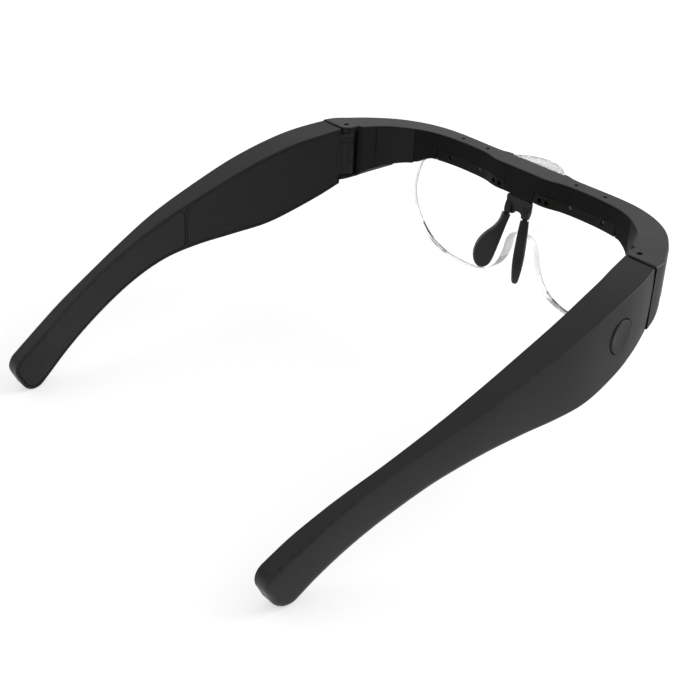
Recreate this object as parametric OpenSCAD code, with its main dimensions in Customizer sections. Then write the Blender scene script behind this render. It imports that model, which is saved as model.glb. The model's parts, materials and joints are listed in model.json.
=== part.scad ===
// Lighted magnifying glasses: a brow bar with a lamp and a clear two-lobe lens,
// and two folding temples that hold the battery and the switch board.
// Millimetres. +Z is up, the wearer looks along -Y, the wearer's left is +X.
// The pieces are drawn about the middle of the hinge line, at the brow bar's top face,
// and set_down() then moves them so that the origin is under the middle of the whole.

/* [Brow bar] */
// Distance between the two hinge pins
pin_span = 137; // [131:1:144]
// How far the front face lies ahead of the hinge pins
brow_reach = 29.4; // [28.4:0.2:32]
// Depth of the bar, front to back, beside the lamp
brow_depth = 6.4; // [6.2:0.1:8]
// Height of the bar over the lens
brow_height = 10.4; // [10:0.1:13]
// Height of the bar at its hinges
hinge_height = 21; // [20:0.5:24]
// How far the bar stands out beyond a hinge pin
brow_flare = 9.4; // [8:0.2:11]
// How far the middle of the rear face stands back towards the wearer
middle_bulge = 2; // [1.4:0.1:2.4]
// Wall of the front shell
shell_wall = 1.3; // [1.1:0.1:1.5]
// Thickness of the top face
top_wall = 1.4; // [1.2:0.1:1.6]
// Thickness of the rear cover
cover_wall = 1.1; // [0.9:0.1:1.2]
// Thickness of the brow pad
pad_wall = 0.9; // [0.7:0.1:1]
// Half width of the pad's deep part over the nose
middle_half = 7.4; // [7:0.1:8]
// Thickness of the lip of the top face over the pad
top_lip = 0.35; // [0.3:0.05:0.5]

/* [Hinges] */
// Radius of a hinge pin
pin_r = 0.8; // [0.6:0.05:1]
// Radius of a temple's hinge barrel
barrel_r = 3.7; // [3.2:0.1:3.8]
// Thickness of the two plates that hold a pin
fork_plate = 2.2; // [1.8:0.1:2.8]
// Gap between the bar's end and a temple
end_gap = 0.6; // [0.4:0.05:0.9]
// Radial clearance of a barrel on its pin
pin_clearance = 0.05; // [0.03:0.01:0.08]

/* [Temples] */
// From the hinge pin to the end of a temple
temple_reach = 140.2; // [132:0.2:150]
// From the bar's top face down to the lowest point of a temple
temple_drop = 65.5; // [60:0.5:70]
// How far a temple's widest point stands outside its hinge pin
temple_bulge = 15.3; // [14:0.1:18]
// Thickness of a temple over its battery bay
bay_thickness = 11; // [10.6:0.1:12]
// Thickness of a temple at its tip
tip_thickness = 5.6; // [5:0.1:7]
// Depth of the bay's belly below the bar's top face
belly_drop = 33.8; // [32.5:0.1:36]
// Rounding radius of the tip
tip_r = 5; // [4:0.1:6]
// Wall of a temple shell
temple_wall = 1.7; // [1.4:0.1:2]
// Thickness of the inner cover and of the grip
inlay_wall = 1.5; // [1.2:0.1:1.7]
// Rim of the shell round the cover and the grip
rim = 1; // [0.8:0.1:1.4]
// Where the cover ends and the grip begins, behind the hinge pin
cover_end = 67; // [62:0.5:72]

/* [Lens] */
// Overall width of the lens
lens_width = 112.6; // [108:0.2:116]
// Depth of the lens's lower edge below the bar's top face
lens_drop = 47.4; // [44:0.2:52]
// Thickness of the lens
lens_thickness = 3.2; // [2.6:0.1:3.3]
// Half width of the nose opening at its top
nose_half = 7; // [6:0.1:8]
// Depth of the top of the nose opening below the bar's top face
nose_top = 25.5; // [24:0.5:28]
// Clearance of the lens in its slot, on each side
lens_clearance = 0.1; // [0.05:0.01:0.15]
// Half length of the slot that holds the lens
slot_half = 42; // [38:0.5:43]

/* [Nose rest] */
// Width of the bracket
bracket_width = 11.4; // [10:0.2:12.4]
// Length of a nose pad
nose_pad_length = 22; // [19:0.5:24]
// Thickness of a nose pad
nose_pad_thickness = 4; // [3:0.1:5]
// Turn of the pads away from straight ahead
nose_pad_turn = 50; // [44:1:56]
// How far a pad leans back at its lower end
nose_pad_lean = 13.5; // [11:0.5:17]

/* [Lamp] */
// Half width of the lamp window
lamp_half = 12; // [10.5:0.1:13]
// How far the window stands ahead of the bar
lamp_reach = 7; // [6:0.1:8]
// Height of the window
lamp_height = 9.6; // [9:0.1:9.8]
// Wall of the window
lamp_wall = 1.1; // [0.9:0.1:1.3]
// Distance between the two light-emitting chips
chip_pitch = 10; // [9:0.1:11]

/* [Power] */
// Radius of the power button
button_r = 5.3; // [5:0.1:6.4]
// Travel of the power button
button_travel = 0.5; // [0.3:0.05:0.5]
// Radial clearance of the button in its hole
button_clearance = 0.25; // [0.2:0.05:0.35]
// Distance of the button behind the hinge pin
button_y = 21.8; // [20:0.2:24]
// Length of the battery cell
cell_length = 32; // [26:0.5:33]
// Height of the battery cell
cell_height = 15; // [12:0.5:16]
// Thickness of the battery cell
cell_thickness = 4.8; // [4:0.1:5]

/* [Hidden] */
$fn = 48;

// Small sizes that several pieces share
seat_gap = 0.1;
half_span = pin_span / 2;
end_front = 3.4;
temple_front = end_front + end_gap;
steps = 5;

// Curves: a smooth line through a few chosen points, and lines moved towards the wearer
function between(a, b, t) = a + (b - a) * t;
function bend(a, b, c, d, t) =
  0.5 * (2 * b + (c - a) * t + (2 * a - 5 * b + 4 * c - d) * t * t
         + (3 * b - a - 3 * c + d) * t * t * t);
function smooth_line(p, n = steps) = [
  for (i = [0:len(p) - 2], k = [0:n - 1])
    bend(p[max(i - 1, 0)], p[i], p[i + 1], p[min(i + 2, len(p) - 1)], k / n),
  p[len(p) - 1]
];
function backwards(p) = [for (i = [len(p) - 1:-1:0]) p[i]];
function mirrored(p) = [for (q = p) [-q[0], q[1]]];
function right_of(d) = [d[1], -d[0]] / norm(d);
// The last point of such a line lies at the middle of the bar and stays there
function moved_inwards(p, t) = [
  for (i = [0:len(p) - 1])
    let (q = p[i] + t * right_of(p[min(i + 1, len(p) - 1)] - p[max(i - 1, 0)]))
    i < len(p) - 1 ? q : [p[i][0], q[1]]
];
function swapped(p) = [for (q = p) [q[1], q[0]]];
function arc_points(c, r, from, to, n) =
  [for (i = [0:n]) let (a = between(from, to, i / n)) [c[0] + r * cos(a), c[1] + r * sin(a)]];

// Brow bar in plan, for the +X half, from the hinge end to the middle
inner_reach = brow_reach - brow_depth;
shoulder_y = -brow_reach - 1;
outer_line = smooth_line([
  [half_span + brow_flare, end_front],
  [half_span + brow_flare - 0.9, -0.05 * brow_reach],
  [half_span + 5.8, -0.2 * brow_reach],
  [half_span + 1.9, -0.4 * brow_reach],
  [half_span - 5.1, -0.67 * brow_reach],
  [half_span - 13, -0.85 * brow_reach],
  [half_span - 22, -0.96 * brow_reach],
  [half_span - 32, -brow_reach],
  [18.5, -brow_reach],
  [lamp_half + 0.6, shoulder_y],
  [0, shoulder_y]
]);
inner_line = smooth_line([
  [half_span - 6.1, -4.5],
  [half_span - 9.8, -0.48 * inner_reach],
  [half_span - 16.4, -0.74 * inner_reach],
  [half_span - 23.1, -0.9 * inner_reach],
  [half_span - 30, -0.97 * inner_reach],
  [half_span - 37.5, -inner_reach],
  [22.9, -inner_reach],
  [17.8, -inner_reach + 0.25 * middle_bulge],
  [11.8, -inner_reach + middle_bulge],
  [5, -inner_reach + middle_bulge],
  [0, -inner_reach + middle_bulge]
]);
fork_r = end_front + 0.3;
fork_line = concat(
  [[half_span - sqrt(fork_r * fork_r - end_front * end_front), end_front]],
  arc_points([half_span, 0], fork_r, 120, 180, 6),
  [[half_span - fork_r, -2.7], [half_span - 5.6, -3.3]]
);
// Underside of the bar seen from the front: x against z
function down(share) = between(-brow_height, -hinge_height, share);
underside = smooth_line([
  [slot_half + 2.6, -brow_height],
  [half_span - 19.7, down(0.15)],
  [half_span - 18, down(0.27)],
  [half_span - 15, down(0.32)],
  [half_span - 11.2, down(0.42)],
  [half_span - 7.5, down(0.57)],
  [half_span - 5.9, down(0.68)],
  [half_span - 3.5, down(0.88)],
  [half_span, -hinge_height]
]);
// Underside of each end seen from the side, y against z: it rises towards the front
end_rise = smooth_line([
  [end_front + 0.4, down(1.03)],
  [0.6, down(0.82)],
  [-1.5, down(0.57)],
  [-3.1, down(0.35)],
  [-5.5, down(0.26)],
  [-11.5, down(0.21)],
  [-26, down(0.17)]
]);
end_tilt = 25;
function underside_z(x) = x < underside[0][0] ? -brow_height : lookup(x, underside);

// Levels inside the bar
hollow_wall = shell_wall + 0.2;
hollow_back = -8;
rail_top = -6;
rail_roof = 2;
lens_top = rail_top - rail_roof - 0.3;
slot_front = -brow_reach + shell_wall;
lens_front = slot_front + lens_clearance;
lens_rear = lens_front + lens_thickness;
slot_rear = lens_rear + lens_clearance;
rail_seat = -inner_reach - pad_wall;
rail_inset = 0.25;
rail_gap = 0.2;
rail_screw_x = [21.4, 35.9];
rail_screw_z = rail_top - 1.5;
rail_head_r = 0.75;
rail_head = 0.5;
latch_width = 1.6;
latch_height = 1.5;
latch_depth = 1.6;
latch_rise = 1.1;
latch_x = [middle_half + 1.4, middle_half + 4.4];
shell_pin_x = [20.8, 33.3];
shell_pin_y = -inner_reach - pad_wall - cover_wall - 0.9;
shell_pin_r = 0.6;
screw_r = 0.6;
pad_half = 50.5;
cover_half = half_span - 8;
tongue_half = 3.4;
tongue_top = -3;
bracket_front = -inner_reach - pad_wall - cover_wall + middle_bulge;
bracket_rear = -inner_reach + middle_bulge - 0.4;
bracket_low = -16.2;
bracket_screw_z = -4.4;
stub_x = 3.9;
pad_shift = 0.5;
stub_top = -17.4;
foot_reach = 1.5;
stub_y = bracket_rear + foot_reach / 3;
stub_r = 0.9;
arch_r = stub_x - 1.3;
arch_drop = 1.2;
lamp_seat_y = -brow_reach + 0.2;
wire_exit_x = 8.2;
wire_z = -4;
wire_r = 0.45;

// Levels and reach of the hinge, measured from the pin
pocket_z = -hinge_height + fork_plate;
pocket_tall = hinge_height - 2 * fork_plate;
barrel_gap = 0.4;
barrel_end_gap = 0.3;
fold_front = 2.7;
fold_side = 12;
knuckle_in = 2.1;
knuckle_out = 3.3;

// Temple outlines, measured outwards from the pin, back from the pin and up from the top face
wide_line = smooth_line([
  [temple_front, brow_flare],
  [0.086 * temple_reach, brow_flare + 2.4],
  [0.157 * temple_reach, temple_bulge - 1.7],
  [0.285 * temple_reach, temple_bulge],
  [0.414 * temple_reach, temple_bulge - 0.3],
  [0.542 * temple_reach, temple_bulge - 1.7],
  [0.656 * temple_reach, temple_bulge - 4.7],
  [0.77 * temple_reach, temple_bulge - 7.8],
  [0.87 * temple_reach, temple_bulge - 9.9],
  [temple_reach, temple_bulge - 12.5]
]);
bay_inside = temple_bulge - bay_thickness;
near_line = smooth_line([
  [temple_front, -2.2],
  [0.086 * temple_reach, -0.4],
  [0.157 * temple_reach, bay_inside - 2.4],
  [0.285 * temple_reach, bay_inside],
  [0.414 * temple_reach, bay_inside + 1],
  [0.528 * temple_reach, bay_inside + 1.4],
  [0.628 * temple_reach, bay_inside + 0.9],
  [0.742 * temple_reach, temple_bulge - 6.4 - tip_thickness],
  [0.856 * temple_reach, temple_bulge - 9.6 - tip_thickness],
  [0.927 * temple_reach, temple_bulge - 11.6 - tip_thickness],
  [temple_reach, temple_bulge - 12.6 - tip_thickness]
]);
// The tip is two rounds, one behind the other's top, joined by a short straight
upper_tip = [temple_reach - tip_r, -temple_drop + tip_r + 3.6];
lower_tip = [temple_reach - tip_r - 1.8, -temple_drop + tip_r];
tip_slope = 57;
tip_turn = -22;
crest_line = smooth_line([
  [temple_front, -0.4],
  [0.157 * temple_reach, -3.7],
  [0.285 * temple_reach, -0.134 * temple_drop],
  [0.428 * temple_reach, -0.238 * temple_drop],
  [0.571 * temple_reach, -0.35 * temple_drop],
  [0.713 * temple_reach, -0.48 * temple_drop],
  [0.842 * temple_reach, -0.617 * temple_drop],
  upper_tip + tip_r * [cos(tip_slope), sin(tip_slope)]
]);
belly_line = smooth_line([
  [temple_front, -hinge_height - 0.6],
  [0.086 * temple_reach, -belly_drop + 8.4],
  [0.157 * temple_reach, -belly_drop + 4.3],
  [0.243 * temple_reach, -belly_drop + 1],
  [0.342 * temple_reach, -belly_drop],
  [0.442 * temple_reach, -belly_drop - 0.6],
  [0.542 * temple_reach, -belly_drop - 2.5],
  [0.642 * temple_reach, -0.626 * temple_drop],
  [0.742 * temple_reach, -0.729 * temple_drop],
  [0.842 * temple_reach, -0.85 * temple_drop],
  lower_tip + tip_r * [cos(tip_slope + 180), sin(tip_slope + 180)]
]);
function wide(y) = lookup(y, wide_line);
function near(y) = lookup(y, near_line);
function crest(y) = lookup(y, crest_line);
function belly(y) = lookup(y, belly_line);
function clipped(p, y0, y1) = concat(
  [[y0, lookup(y0, p)]],
  [for (q = p) if (q[0] > y0 + 0.2 && q[0] < y1 - 0.2) q],
  [[y1, lookup(y1, p)]]
);
function shifted(p, d) = [for (q = p) [q[0], q[1] + d]];

// The bay, the button and the boards
bay_front = temple_front + 2;
bay_back = cover_end - 2.5;
cover_start = temple_front + 0.6;
grip_start = cover_end + 0.7;
inlay_seat = inlay_wall + 0.05;
button_z = -15.3;
face_turn = atan((wide(button_y + 6) - wide(button_y - 6)) / 12);
flange_depth = temple_wall + 0.5;
flange_wall = 0.7;
stem_end = flange_depth + flange_wall + 0.1;
switch_height = 1.5;
plunger = 0.9;
plunger_top = stem_end + button_travel + 0.1;
board_depth = plunger_top + plunger + switch_height;
board_wall = 0.8;
board_length = 22;
board_shift = 6.2;
board_top = -12;
board_front = button_y + board_shift - board_length / 2;
board_low = belly(board_front) + temple_wall + 0.1;
board_height = board_top - board_low;
socket_width = 8.94;
socket_thickness = 3.26;
socket_length = 7.2;
socket_shift = 9.2;
socket_z = belly(button_y + socket_shift + socket_width / 2) + 2;
light_shift = 15.8;
board_holes = [[-3.1, board_low + 1.7], [board_shift + 9.3, board_top - 1.7]];
cell_turn = 7;
cell_pitch_angle = 14;
cell_centre = [7.6, 30.5, -18.6];
lead_start = bay_front + seat_gap;
lead_end = cell_centre[1] - cell_length / 2 - 0.5;

// The whole stands on its temple tips, with the origin under the middle of its length
lamp_front = shoulder_y - lamp_reach + 1;
middle_y = (temple_reach + lamp_front) / 2;
module set_down() { translate([0, -middle_y, temple_drop]) children(); }
module left_side() { translate([half_span, 0, 0]) children(); }
module right_side() { mirror([1, 0, 0]) translate([half_span, 0, 0]) children(); }

// A slab between two heights with the given plan
module slab(z0, z1, points) { translate([0, 0, z0]) linear_extrude(z1 - z0) polygon(points); }
// The same on both sides of the middle
module both_halves() { children(); mirror([1, 0, 0]) children(); }
// A plan strip of the bar between two of its lines, drawn across the middle
function strip_plan(outer, inner) =
  concat(outer, backwards(mirrored(outer)), mirrored(inner), backwards(inner));

// Front view of the bar's height, raised by a rim, between two half widths
module bar_height(from_x, to_x, raise, top) {
  line = [for (q = underside) if (q[0] > from_x + 0.1 && q[0] < to_x - 0.1) q];
  low = concat([[from_x, underside_z(from_x)]], line, [[to_x, underside_z(to_x)]]);
  rotate([90, 0, 0]) translate([0, 0, -20]) linear_extrude(80)
    polygon(concat(shifted(low, raise), [[to_x, top], [from_x, top]]));
}

module bar_solid() {
  intersection() {
    slab(-hinge_height, 0, strip_plan(outer_line, concat(fork_line, inner_line)));
    both_halves() bar_height(0, half_span + brow_flare + 5, 0, 0);
  }
}

// The space for the hinge barrel and for the temple's corner as it folds
module hinge_pocket() {
  left_side() translate([0, 0, pocket_z]) {
    cylinder(r = barrel_r + barrel_gap, h = pocket_tall);
    translate([-fold_side, -fold_front, 0]) cube([fold_side, fold_side, pocket_tall]);
    cube([knuckle_out + 0.7, temple_front + 1.7, pocket_tall]);
  }
}

// What lies under an end: it tilts up outwards and leaves a boss round the hinge pin
module under_end(raise, boss_r) {
  tilted = [for (q = end_rise) [q[0], q[1] * cos(end_tilt)]];
  difference() {
    translate([half_span + brow_flare - 1, 0, raise]) rotate([0, -end_tilt, 0]) rotate([90, 0, 90])
      translate([0, 0, -40]) linear_extrude(60)
        polygon(concat(tilted, [[tilted[len(tilted) - 1][0], -60], [tilted[0][0], -60]]));
    translate([half_span, 0, -hinge_height - 2]) cylinder(r = boss_r, h = hinge_height);
  }
}

// The hollow of the bar behind its front wall, for the +X half and the middle
module bar_hollow() {
  wall_line = [for (q = moved_inwards(outer_line, hollow_wall)) if (q[1] < hollow_back) q];
  plan = concat([[half_span, hollow_back]], wall_line,
    [[0, hollow_back - 7], [half_span - 12, hollow_back]]);
  difference() {
    intersection() {
      slab(-hinge_height, -top_wall, plan);
      bar_height(-1, half_span + 6, shell_wall, 0);
    }
    // The wall behind the lamp, and the boss that the bracket's screw bites into
    translate([-1, lamp_seat_y - 1, rail_top]) cube([lamp_half + 1 + shell_wall, 1 + shell_wall, -rail_top]);
    translate([-1, lamp_seat_y, rail_top])
      cube([1 + 2.4, bracket_front - seat_gap / 2 - lamp_seat_y, -rail_top]);
    under_end(shell_wall, seat_gap);
  }
}

// A band along the bar's rear face: near_gap and far_gap lie inside that face
module rear_band(near_gap, far_gap, reach, top = -top_wall) {
  intersection() {
    slab(-hinge_height - 1, top,
      strip_plan(moved_inwards(inner_line, -far_gap), moved_inwards(inner_line, -near_gap)));
    translate([-reach, -60, -hinge_height - 2]) cube([2 * reach, 70, hinge_height + 2]);
  }
}

module brow_front_shell() {
  color("#3a3a3c") set_down() difference() {
    bar_solid();
    // The space that the cover and the pad fill, higher behind the lip
    rear_band(-3, pad_wall + cover_wall + seat_gap / 2, cover_half + seat_gap);
    rear_band(-3, pad_wall + seat_gap / 2, cover_half + seat_gap, -top_lip);
    both_halves() {
      under_end(0, barrel_r + barrel_gap + 0.9);
      bar_hollow();
      hinge_pocket();
      translate([half_span, 0, -hinge_height - 1]) cylinder(r = pin_r, h = hinge_height + 2);
      for (x = shell_pin_x)
        translate([x, shell_pin_y, -top_wall - 1]) cylinder(r = shell_pin_r, h = top_wall + 2);
      for (x = rail_screw_x)
        translate([x, slot_front + 1, rail_screw_z]) rotate([90, 0, 0]) cylinder(r = screw_r, h = 1.9);
    }
    translate([0, bracket_front + 1, bracket_screw_z]) rotate([90, 0, 0])
      cylinder(r = screw_r, h = 4.4);
    // Slot for the lens and its rail
    translate([-slot_half, slot_front, -hinge_height])
      cube([2 * slot_half, brow_depth + 6, hinge_height + rail_top]);
    // Seat of the lamp, with the holes for its wires
    translate([-lamp_half - seat_gap, shoulder_y - 1, -hinge_height])
      cube([2 * (lamp_half + seat_gap), lamp_seat_y - shoulder_y + 1, hinge_height + 1]);
    for (x = [-wire_exit_x, wire_exit_x])
      translate([x, lamp_seat_y + 3, wire_z]) rotate([90, 0, 0]) cylinder(r = 0.7, h = 6);
  }
}

// The cover and the pad share a band and differ in their depth, ends and lower edge
module rear_strip(near_gap, far_gap, reach, raise, top = -top_wall) {
  intersection() {
    rear_band(near_gap, far_gap, reach, top);
    union() {
      both_halves() bar_height(slot_half + 0.6, half_span, raise, 0);
      translate([-slot_half - 1, -60, rail_top]) cube([2 * slot_half + 2, 60, -rail_top]);
      translate([-middle_half, -60, -brow_height + raise])
        cube([2 * middle_half, 60, brow_height - raise]);
    }
  }
}

module brow_rear_cover() {
  color("#202022") set_down() difference() {
    union() {
      rear_strip(0, pad_wall + cover_wall, cover_half, 0.1);
      rear_strip(0, pad_wall, cover_half, 0.1, -top_lip - seat_gap);
    }
    // Room for the pad, which leaves smooth wings beside it, flush with its face
    rear_band(-1, pad_wall, pad_half + seat_gap, 0);
    // Room for the bracket's tongue, from below
    translate([-tongue_half - seat_gap, -inner_reach + middle_bulge - 6, -brow_height - 1])
      cube([2 * (tongue_half + seat_gap), 12, brow_height + 1 + tongue_top + seat_gap]);
  }
}

module brow_pad() {
  color("#141414") set_down()
    rear_strip(0, pad_wall - 0.02, pad_half, 0.3, -top_lip - seat_gap);
}

// The rail closes the slot from above and behind, and follows the bar's rear face
module lens_rail() {
  face = moved_inwards(inner_line, -rail_inset);
  low = -brow_height + rail_gap;
  half = slot_half - seat_gap;
  color("#1b1b18") set_down() difference() {
    intersection() {
      slab(low, rail_top, concat([[half_span, slot_front], [-half_span, slot_front]],
        mirrored(face), backwards(face)));
      translate([-half, -60, low - 1]) cube([2 * half, 60, rail_top - low + 2]);
    }
    // Room for the lens, for the deep middle of the cover, and for the edge of the pad
    translate([-slot_half - 1, slot_front - 1, -brow_height - 1])
      cube([2 * slot_half + 2, slot_rear - slot_front + 1, brow_height + lens_top + 1.15]);
    translate([-middle_half - seat_gap, rail_seat, low - 1])
      cube([2 * (middle_half + seat_gap), 10, rail_top - low + 2]);
    translate([-slot_half - 1, rail_seat, rail_top - rail_gap]) cube([2 * slot_half + 2, 10, 1]);
    both_halves() {
      for (x = rail_screw_x) {
        translate([x, rail_seat + 1, rail_screw_z]) rotate([90, 0, 0]) cylinder(r = screw_r, h = 9);
        translate([x, rail_seat + 5, rail_screw_z]) rotate([90, 0, 0])
          cylinder(r = rail_head_r + seat_gap, h = 5);
      }
      // Two blind latch windows
      for (x = latch_x)
        translate([x, rail_seat + latch_depth, low + latch_rise]) cube([latch_width, 4, latch_height]);
    }
  }
}

module rail_screws() {
  color("silver") set_down() both_halves() for (x = rail_screw_x)
    translate([x, rail_seat, rail_screw_z]) rotate([90, 0, 0]) {
      cylinder(r = screw_r, h = rail_seat - slot_front + 0.8);
      translate([0, 0, -rail_head]) cylinder(r = rail_head_r, h = rail_head);
    }
}

module shell_pins() {
  color("dimgray") set_down() both_halves() for (x = shell_pin_x)
    translate([x, shell_pin_y, rail_top]) cylinder(r = shell_pin_r, h = -rail_top - 0.6);
}

module hinge_pin() {
  translate([0, 0, -hinge_height + 0.4]) cylinder(r = pin_r, h = hinge_height - 0.9);
}
module hinge_pin_left() { color("silver") set_down() left_side() hinge_pin(); }
module hinge_pin_right() { color("silver") set_down() right_side() hinge_pin(); }

// The bracket hangs from its tongue behind the lens, and its two feet stand back and carry
// the stubs inside the pads
module nose_bracket() {
  half = bracket_width / 2;
  arch_turn = asin(arch_drop / arch_r);
  foot = [
    [bracket_rear - 0.5, bracket_low + 3.4], [bracket_rear + foot_reach, bracket_low + 1.2],
    [bracket_rear + foot_reach, stub_top], [bracket_rear - 0.5, stub_top]
  ];
  plate = concat(
    [[-half, -brow_height - 0.2], [half, -brow_height - 0.2], [half, bracket_low + 1.2]],
    [[half - 0.8, bracket_low - 0.4], [stub_x + 1.2, stub_top], [stub_x - 1.2, stub_top]],
    arc_points([0, stub_top - arch_drop], arch_r, arch_turn, 180 - arch_turn, 8),
    [[-stub_x + 1.2, stub_top], [-stub_x - 1.2, stub_top], [-half + 0.8, bracket_low - 0.4]],
    [[-half, bracket_low + 1.2]]
  );
  color("#262626") set_down() difference() {
    union() {
      translate([0, bracket_rear, 0]) rotate([90, 0, 0])
        linear_extrude(bracket_rear - bracket_front) polygon(plate);
      translate([-tongue_half, bracket_front, -brow_height - 0.5])
        cube([2 * tongue_half, cover_wall, brow_height + 0.5 + tongue_top]);
      both_halves() {
        translate([stub_x - 1.2, 0, 0]) rotate([90, 0, 90]) linear_extrude(2.8) polygon(foot);
        pad_place() cylinder(r = stub_r, h = 7, center = true);
      }
    }
    bracket_screw_shape(1);
  }
}

module bracket_screw_shape(proud) {
  translate([0, bracket_front + cover_wall, bracket_screw_z]) rotate([90, 0, 0]) {
    translate([0, 0, -proud]) cylinder(r = 1, h = 0.4 + proud);
    cylinder(r = screw_r, h = cover_wall + 3);
  }
}
module bracket_screw() { color("silver") set_down() bracket_screw_shape(0); }

// A nose pad in its own plane: x towards the wearer's cheek, -y down its length
pad_outline = smooth_line([
  [-1.3, 0], [-1.2, -0.33 * nose_pad_length], [-1.1, -0.7 * nose_pad_length],
  [-0.8, -0.9 * nose_pad_length], [1.3, -nose_pad_length], [4.2, -0.93 * nose_pad_length],
  [6, -0.77 * nose_pad_length], [6.2, -0.6 * nose_pad_length], [4.8, -0.44 * nose_pad_length],
  [2.3, -0.28 * nose_pad_length], [1.4, -0.14 * nose_pad_length], [1.2, 0]
], 3);
module pad_place() {
  translate([stub_x + pad_shift, stub_y, stub_top - 0.4]) rotate([nose_pad_lean, -8, 0]) children();
}
module nose_pad(side) {
  crown_r = nose_pad_length * 3.2;
  color("#181818") set_down() mirror([side < 0 ? 1 : 0, 0, 0]) difference() {
    pad_place() rotate([0, 0, nose_pad_turn]) intersection() {
      rotate([90, 0, 0]) translate([0, 0, -nose_pad_thickness / 2])
        linear_extrude(nose_pad_thickness) polygon(pad_outline);
      translate([1.5, crown_r - nose_pad_thickness / 2, -0.55 * nose_pad_length])
        sphere(r = crown_r, $fn = 240);
      translate([1.5, -crown_r + nose_pad_thickness / 2, -0.55 * nose_pad_length])
        sphere(r = crown_r, $fn = 240);
    }
    pad_place() cylinder(r = stub_r, h = 7, center = true);
  }
}
module nose_pad_left() { nose_pad(1); }
module nose_pad_right() { nose_pad(-1); }

// The lamp: a clear bowed window, a white reflector with two cups, and a lit board
lamp_r = (lamp_half * lamp_half + lamp_reach * lamp_reach) / (2 * lamp_reach);
module lamp_plan(inset) {
  intersection() {
    translate([0, lamp_front + lamp_r]) circle(r = lamp_r - inset, $fn = 96);
    translate([-lamp_half + inset, lamp_front - 1])
      square([2 * (lamp_half - inset), lamp_seat_y - seat_gap - lamp_front + 1]);
  }
}
module lamp_window() {
  color("#e8eaec") set_down() difference() {
    translate([0, 0, -lamp_height]) linear_extrude(lamp_height) lamp_plan(0);
    translate([0, 0, -lamp_height + lamp_wall])
      linear_extrude(lamp_height - 2 * lamp_wall) {
        lamp_plan(lamp_wall);
        translate([-lamp_half + lamp_wall, lamp_seat_y - 1])
          square([2 * (lamp_half - lamp_wall), 3]);
      }
  }
}
chip_y = lamp_seat_y - seat_gap - board_wall;
module lamp_reflector() {
  color("white") set_down() difference() {
    translate([0, 0, -lamp_height + lamp_wall + seat_gap])
      linear_extrude(lamp_height - 2 * lamp_wall - 2 * seat_gap) intersection() {
        lamp_plan(lamp_wall + seat_gap);
        translate([-lamp_half, chip_y - 3.4]) square([2 * lamp_half, 3.4 - 0.05]);
      }
    for (x = [-chip_pitch / 2, chip_pitch / 2])
      translate([x, chip_y + 0.5, -lamp_height / 2]) rotate([90, 0, 0])
        cylinder(r1 = 1.9, r2 = 3.2, h = 4.5);
  }
}
module lamp_chips() {
  color("#f4e8a0") set_down() for (x = [-chip_pitch / 2, chip_pitch / 2])
    translate([x, chip_y, -lamp_height / 2]) {
      translate([-1, -0.6, -1]) cube([2, 0.6, 2]);
      translate([0, -0.6, 0]) rotate([90, 0, 0]) cylinder(r = 0.8, h = 0.4);
    }
}
module lamp_board() {
  color("#e9efe9") set_down()
    translate([-lamp_half + lamp_wall + 0.6, chip_y, -lamp_height + lamp_wall + 0.2])
      cube([2 * (lamp_half - lamp_wall - 0.6), board_wall, lamp_height - 2 * lamp_wall - 0.4]);
}

// Wires lie in the bar from each hinge end to the lamp: a ring of points carried along a route
function ring(c, d, r, n) = [
  for (k = [0:n - 1]) let (a = 360 * k / n)
    [c[0] - d[1] * r * cos(a), c[1] + d[0] * r * cos(a), c[2] + r * sin(a)]
];
module wire(route, r, n = 8) {
  last = len(route) - 1;
  rings = [for (i = [0:last])
    let (d = route[min(i + 1, last)] - route[max(i - 1, 0)], flat = [d[0], d[1]])
    ring(route[i], flat / norm(flat), r, n)];
  points = [for (one = rings) each one];
  sides = [for (i = [0:last - 1], k = [0:n - 1], half = [0, 1]) let (m = (k + 1) % n)
    half == 0 ? [i * n + k, i * n + m, (i + 1) * n + m]
              : [i * n + k, (i + 1) * n + m, (i + 1) * n + k]];
  first = [for (k = [1:n - 2]) [0, k + 1, k]];
  end = [for (k = [1:n - 2]) [last * n, last * n + k, last * n + k + 1]];
  polyhedron(points, concat(sides, first, end));
}
module lamp_wires() {
  wire_line = [for (q = moved_inwards(outer_line, hollow_wall + wire_r + seat_gap))
    if (q[1] < -9.5 && q[0] > lamp_half + 4.6) q];
  color("#7a1f1f") set_down() both_halves() for (z = [wire_z + 0.55, wire_z - 0.55])
    wire(concat([for (q = wire_line) [q[0], q[1], z]],
      [[wire_exit_x + 3.4, lamp_seat_y + 2.2, z], [wire_exit_x + 1.2, lamp_seat_y + 1.7, z]]),
      wire_r);
}

// The lens, seen from the front: two lobes round a nose opening, one clear plate
lens_half = lens_width / 2;
lens_outline = concat(
  [[0, lens_top], [slot_half - 0.6, lens_top], [slot_half - 0.6, -brow_height - 0.5]],
  smooth_line([
    [slot_half + 2, -brow_height - 0.7],
    [lens_half - 8, -0.275 * lens_drop],
    [lens_half - 3.6, -0.325 * lens_drop],
    [lens_half - 1, -0.43 * lens_drop],
    [lens_half, -0.57 * lens_drop],
    [lens_half - 1.6, -0.7 * lens_drop],
    [lens_half - 5.4, -0.83 * lens_drop],
    [lens_half - 11, -0.93 * lens_drop],
    [lens_half - 18, -0.985 * lens_drop],
    [lens_half - 26, -lens_drop],
    [nose_half + 16, -0.995 * lens_drop],
    [nose_half + 9.6, -0.96 * lens_drop],
    [nose_half + 5.6, -0.905 * lens_drop],
    [nose_half + 2.8, -0.83 * lens_drop],
    [nose_half + 0.6, -0.72 * lens_drop],
    [nose_half - 0.2, -nose_top - 5],
    [nose_half - 1.7, -nose_top - 2],
    [nose_half - 4, -nose_top - 0.4],
    [0, -nose_top]
  ], 4)
);
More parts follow.
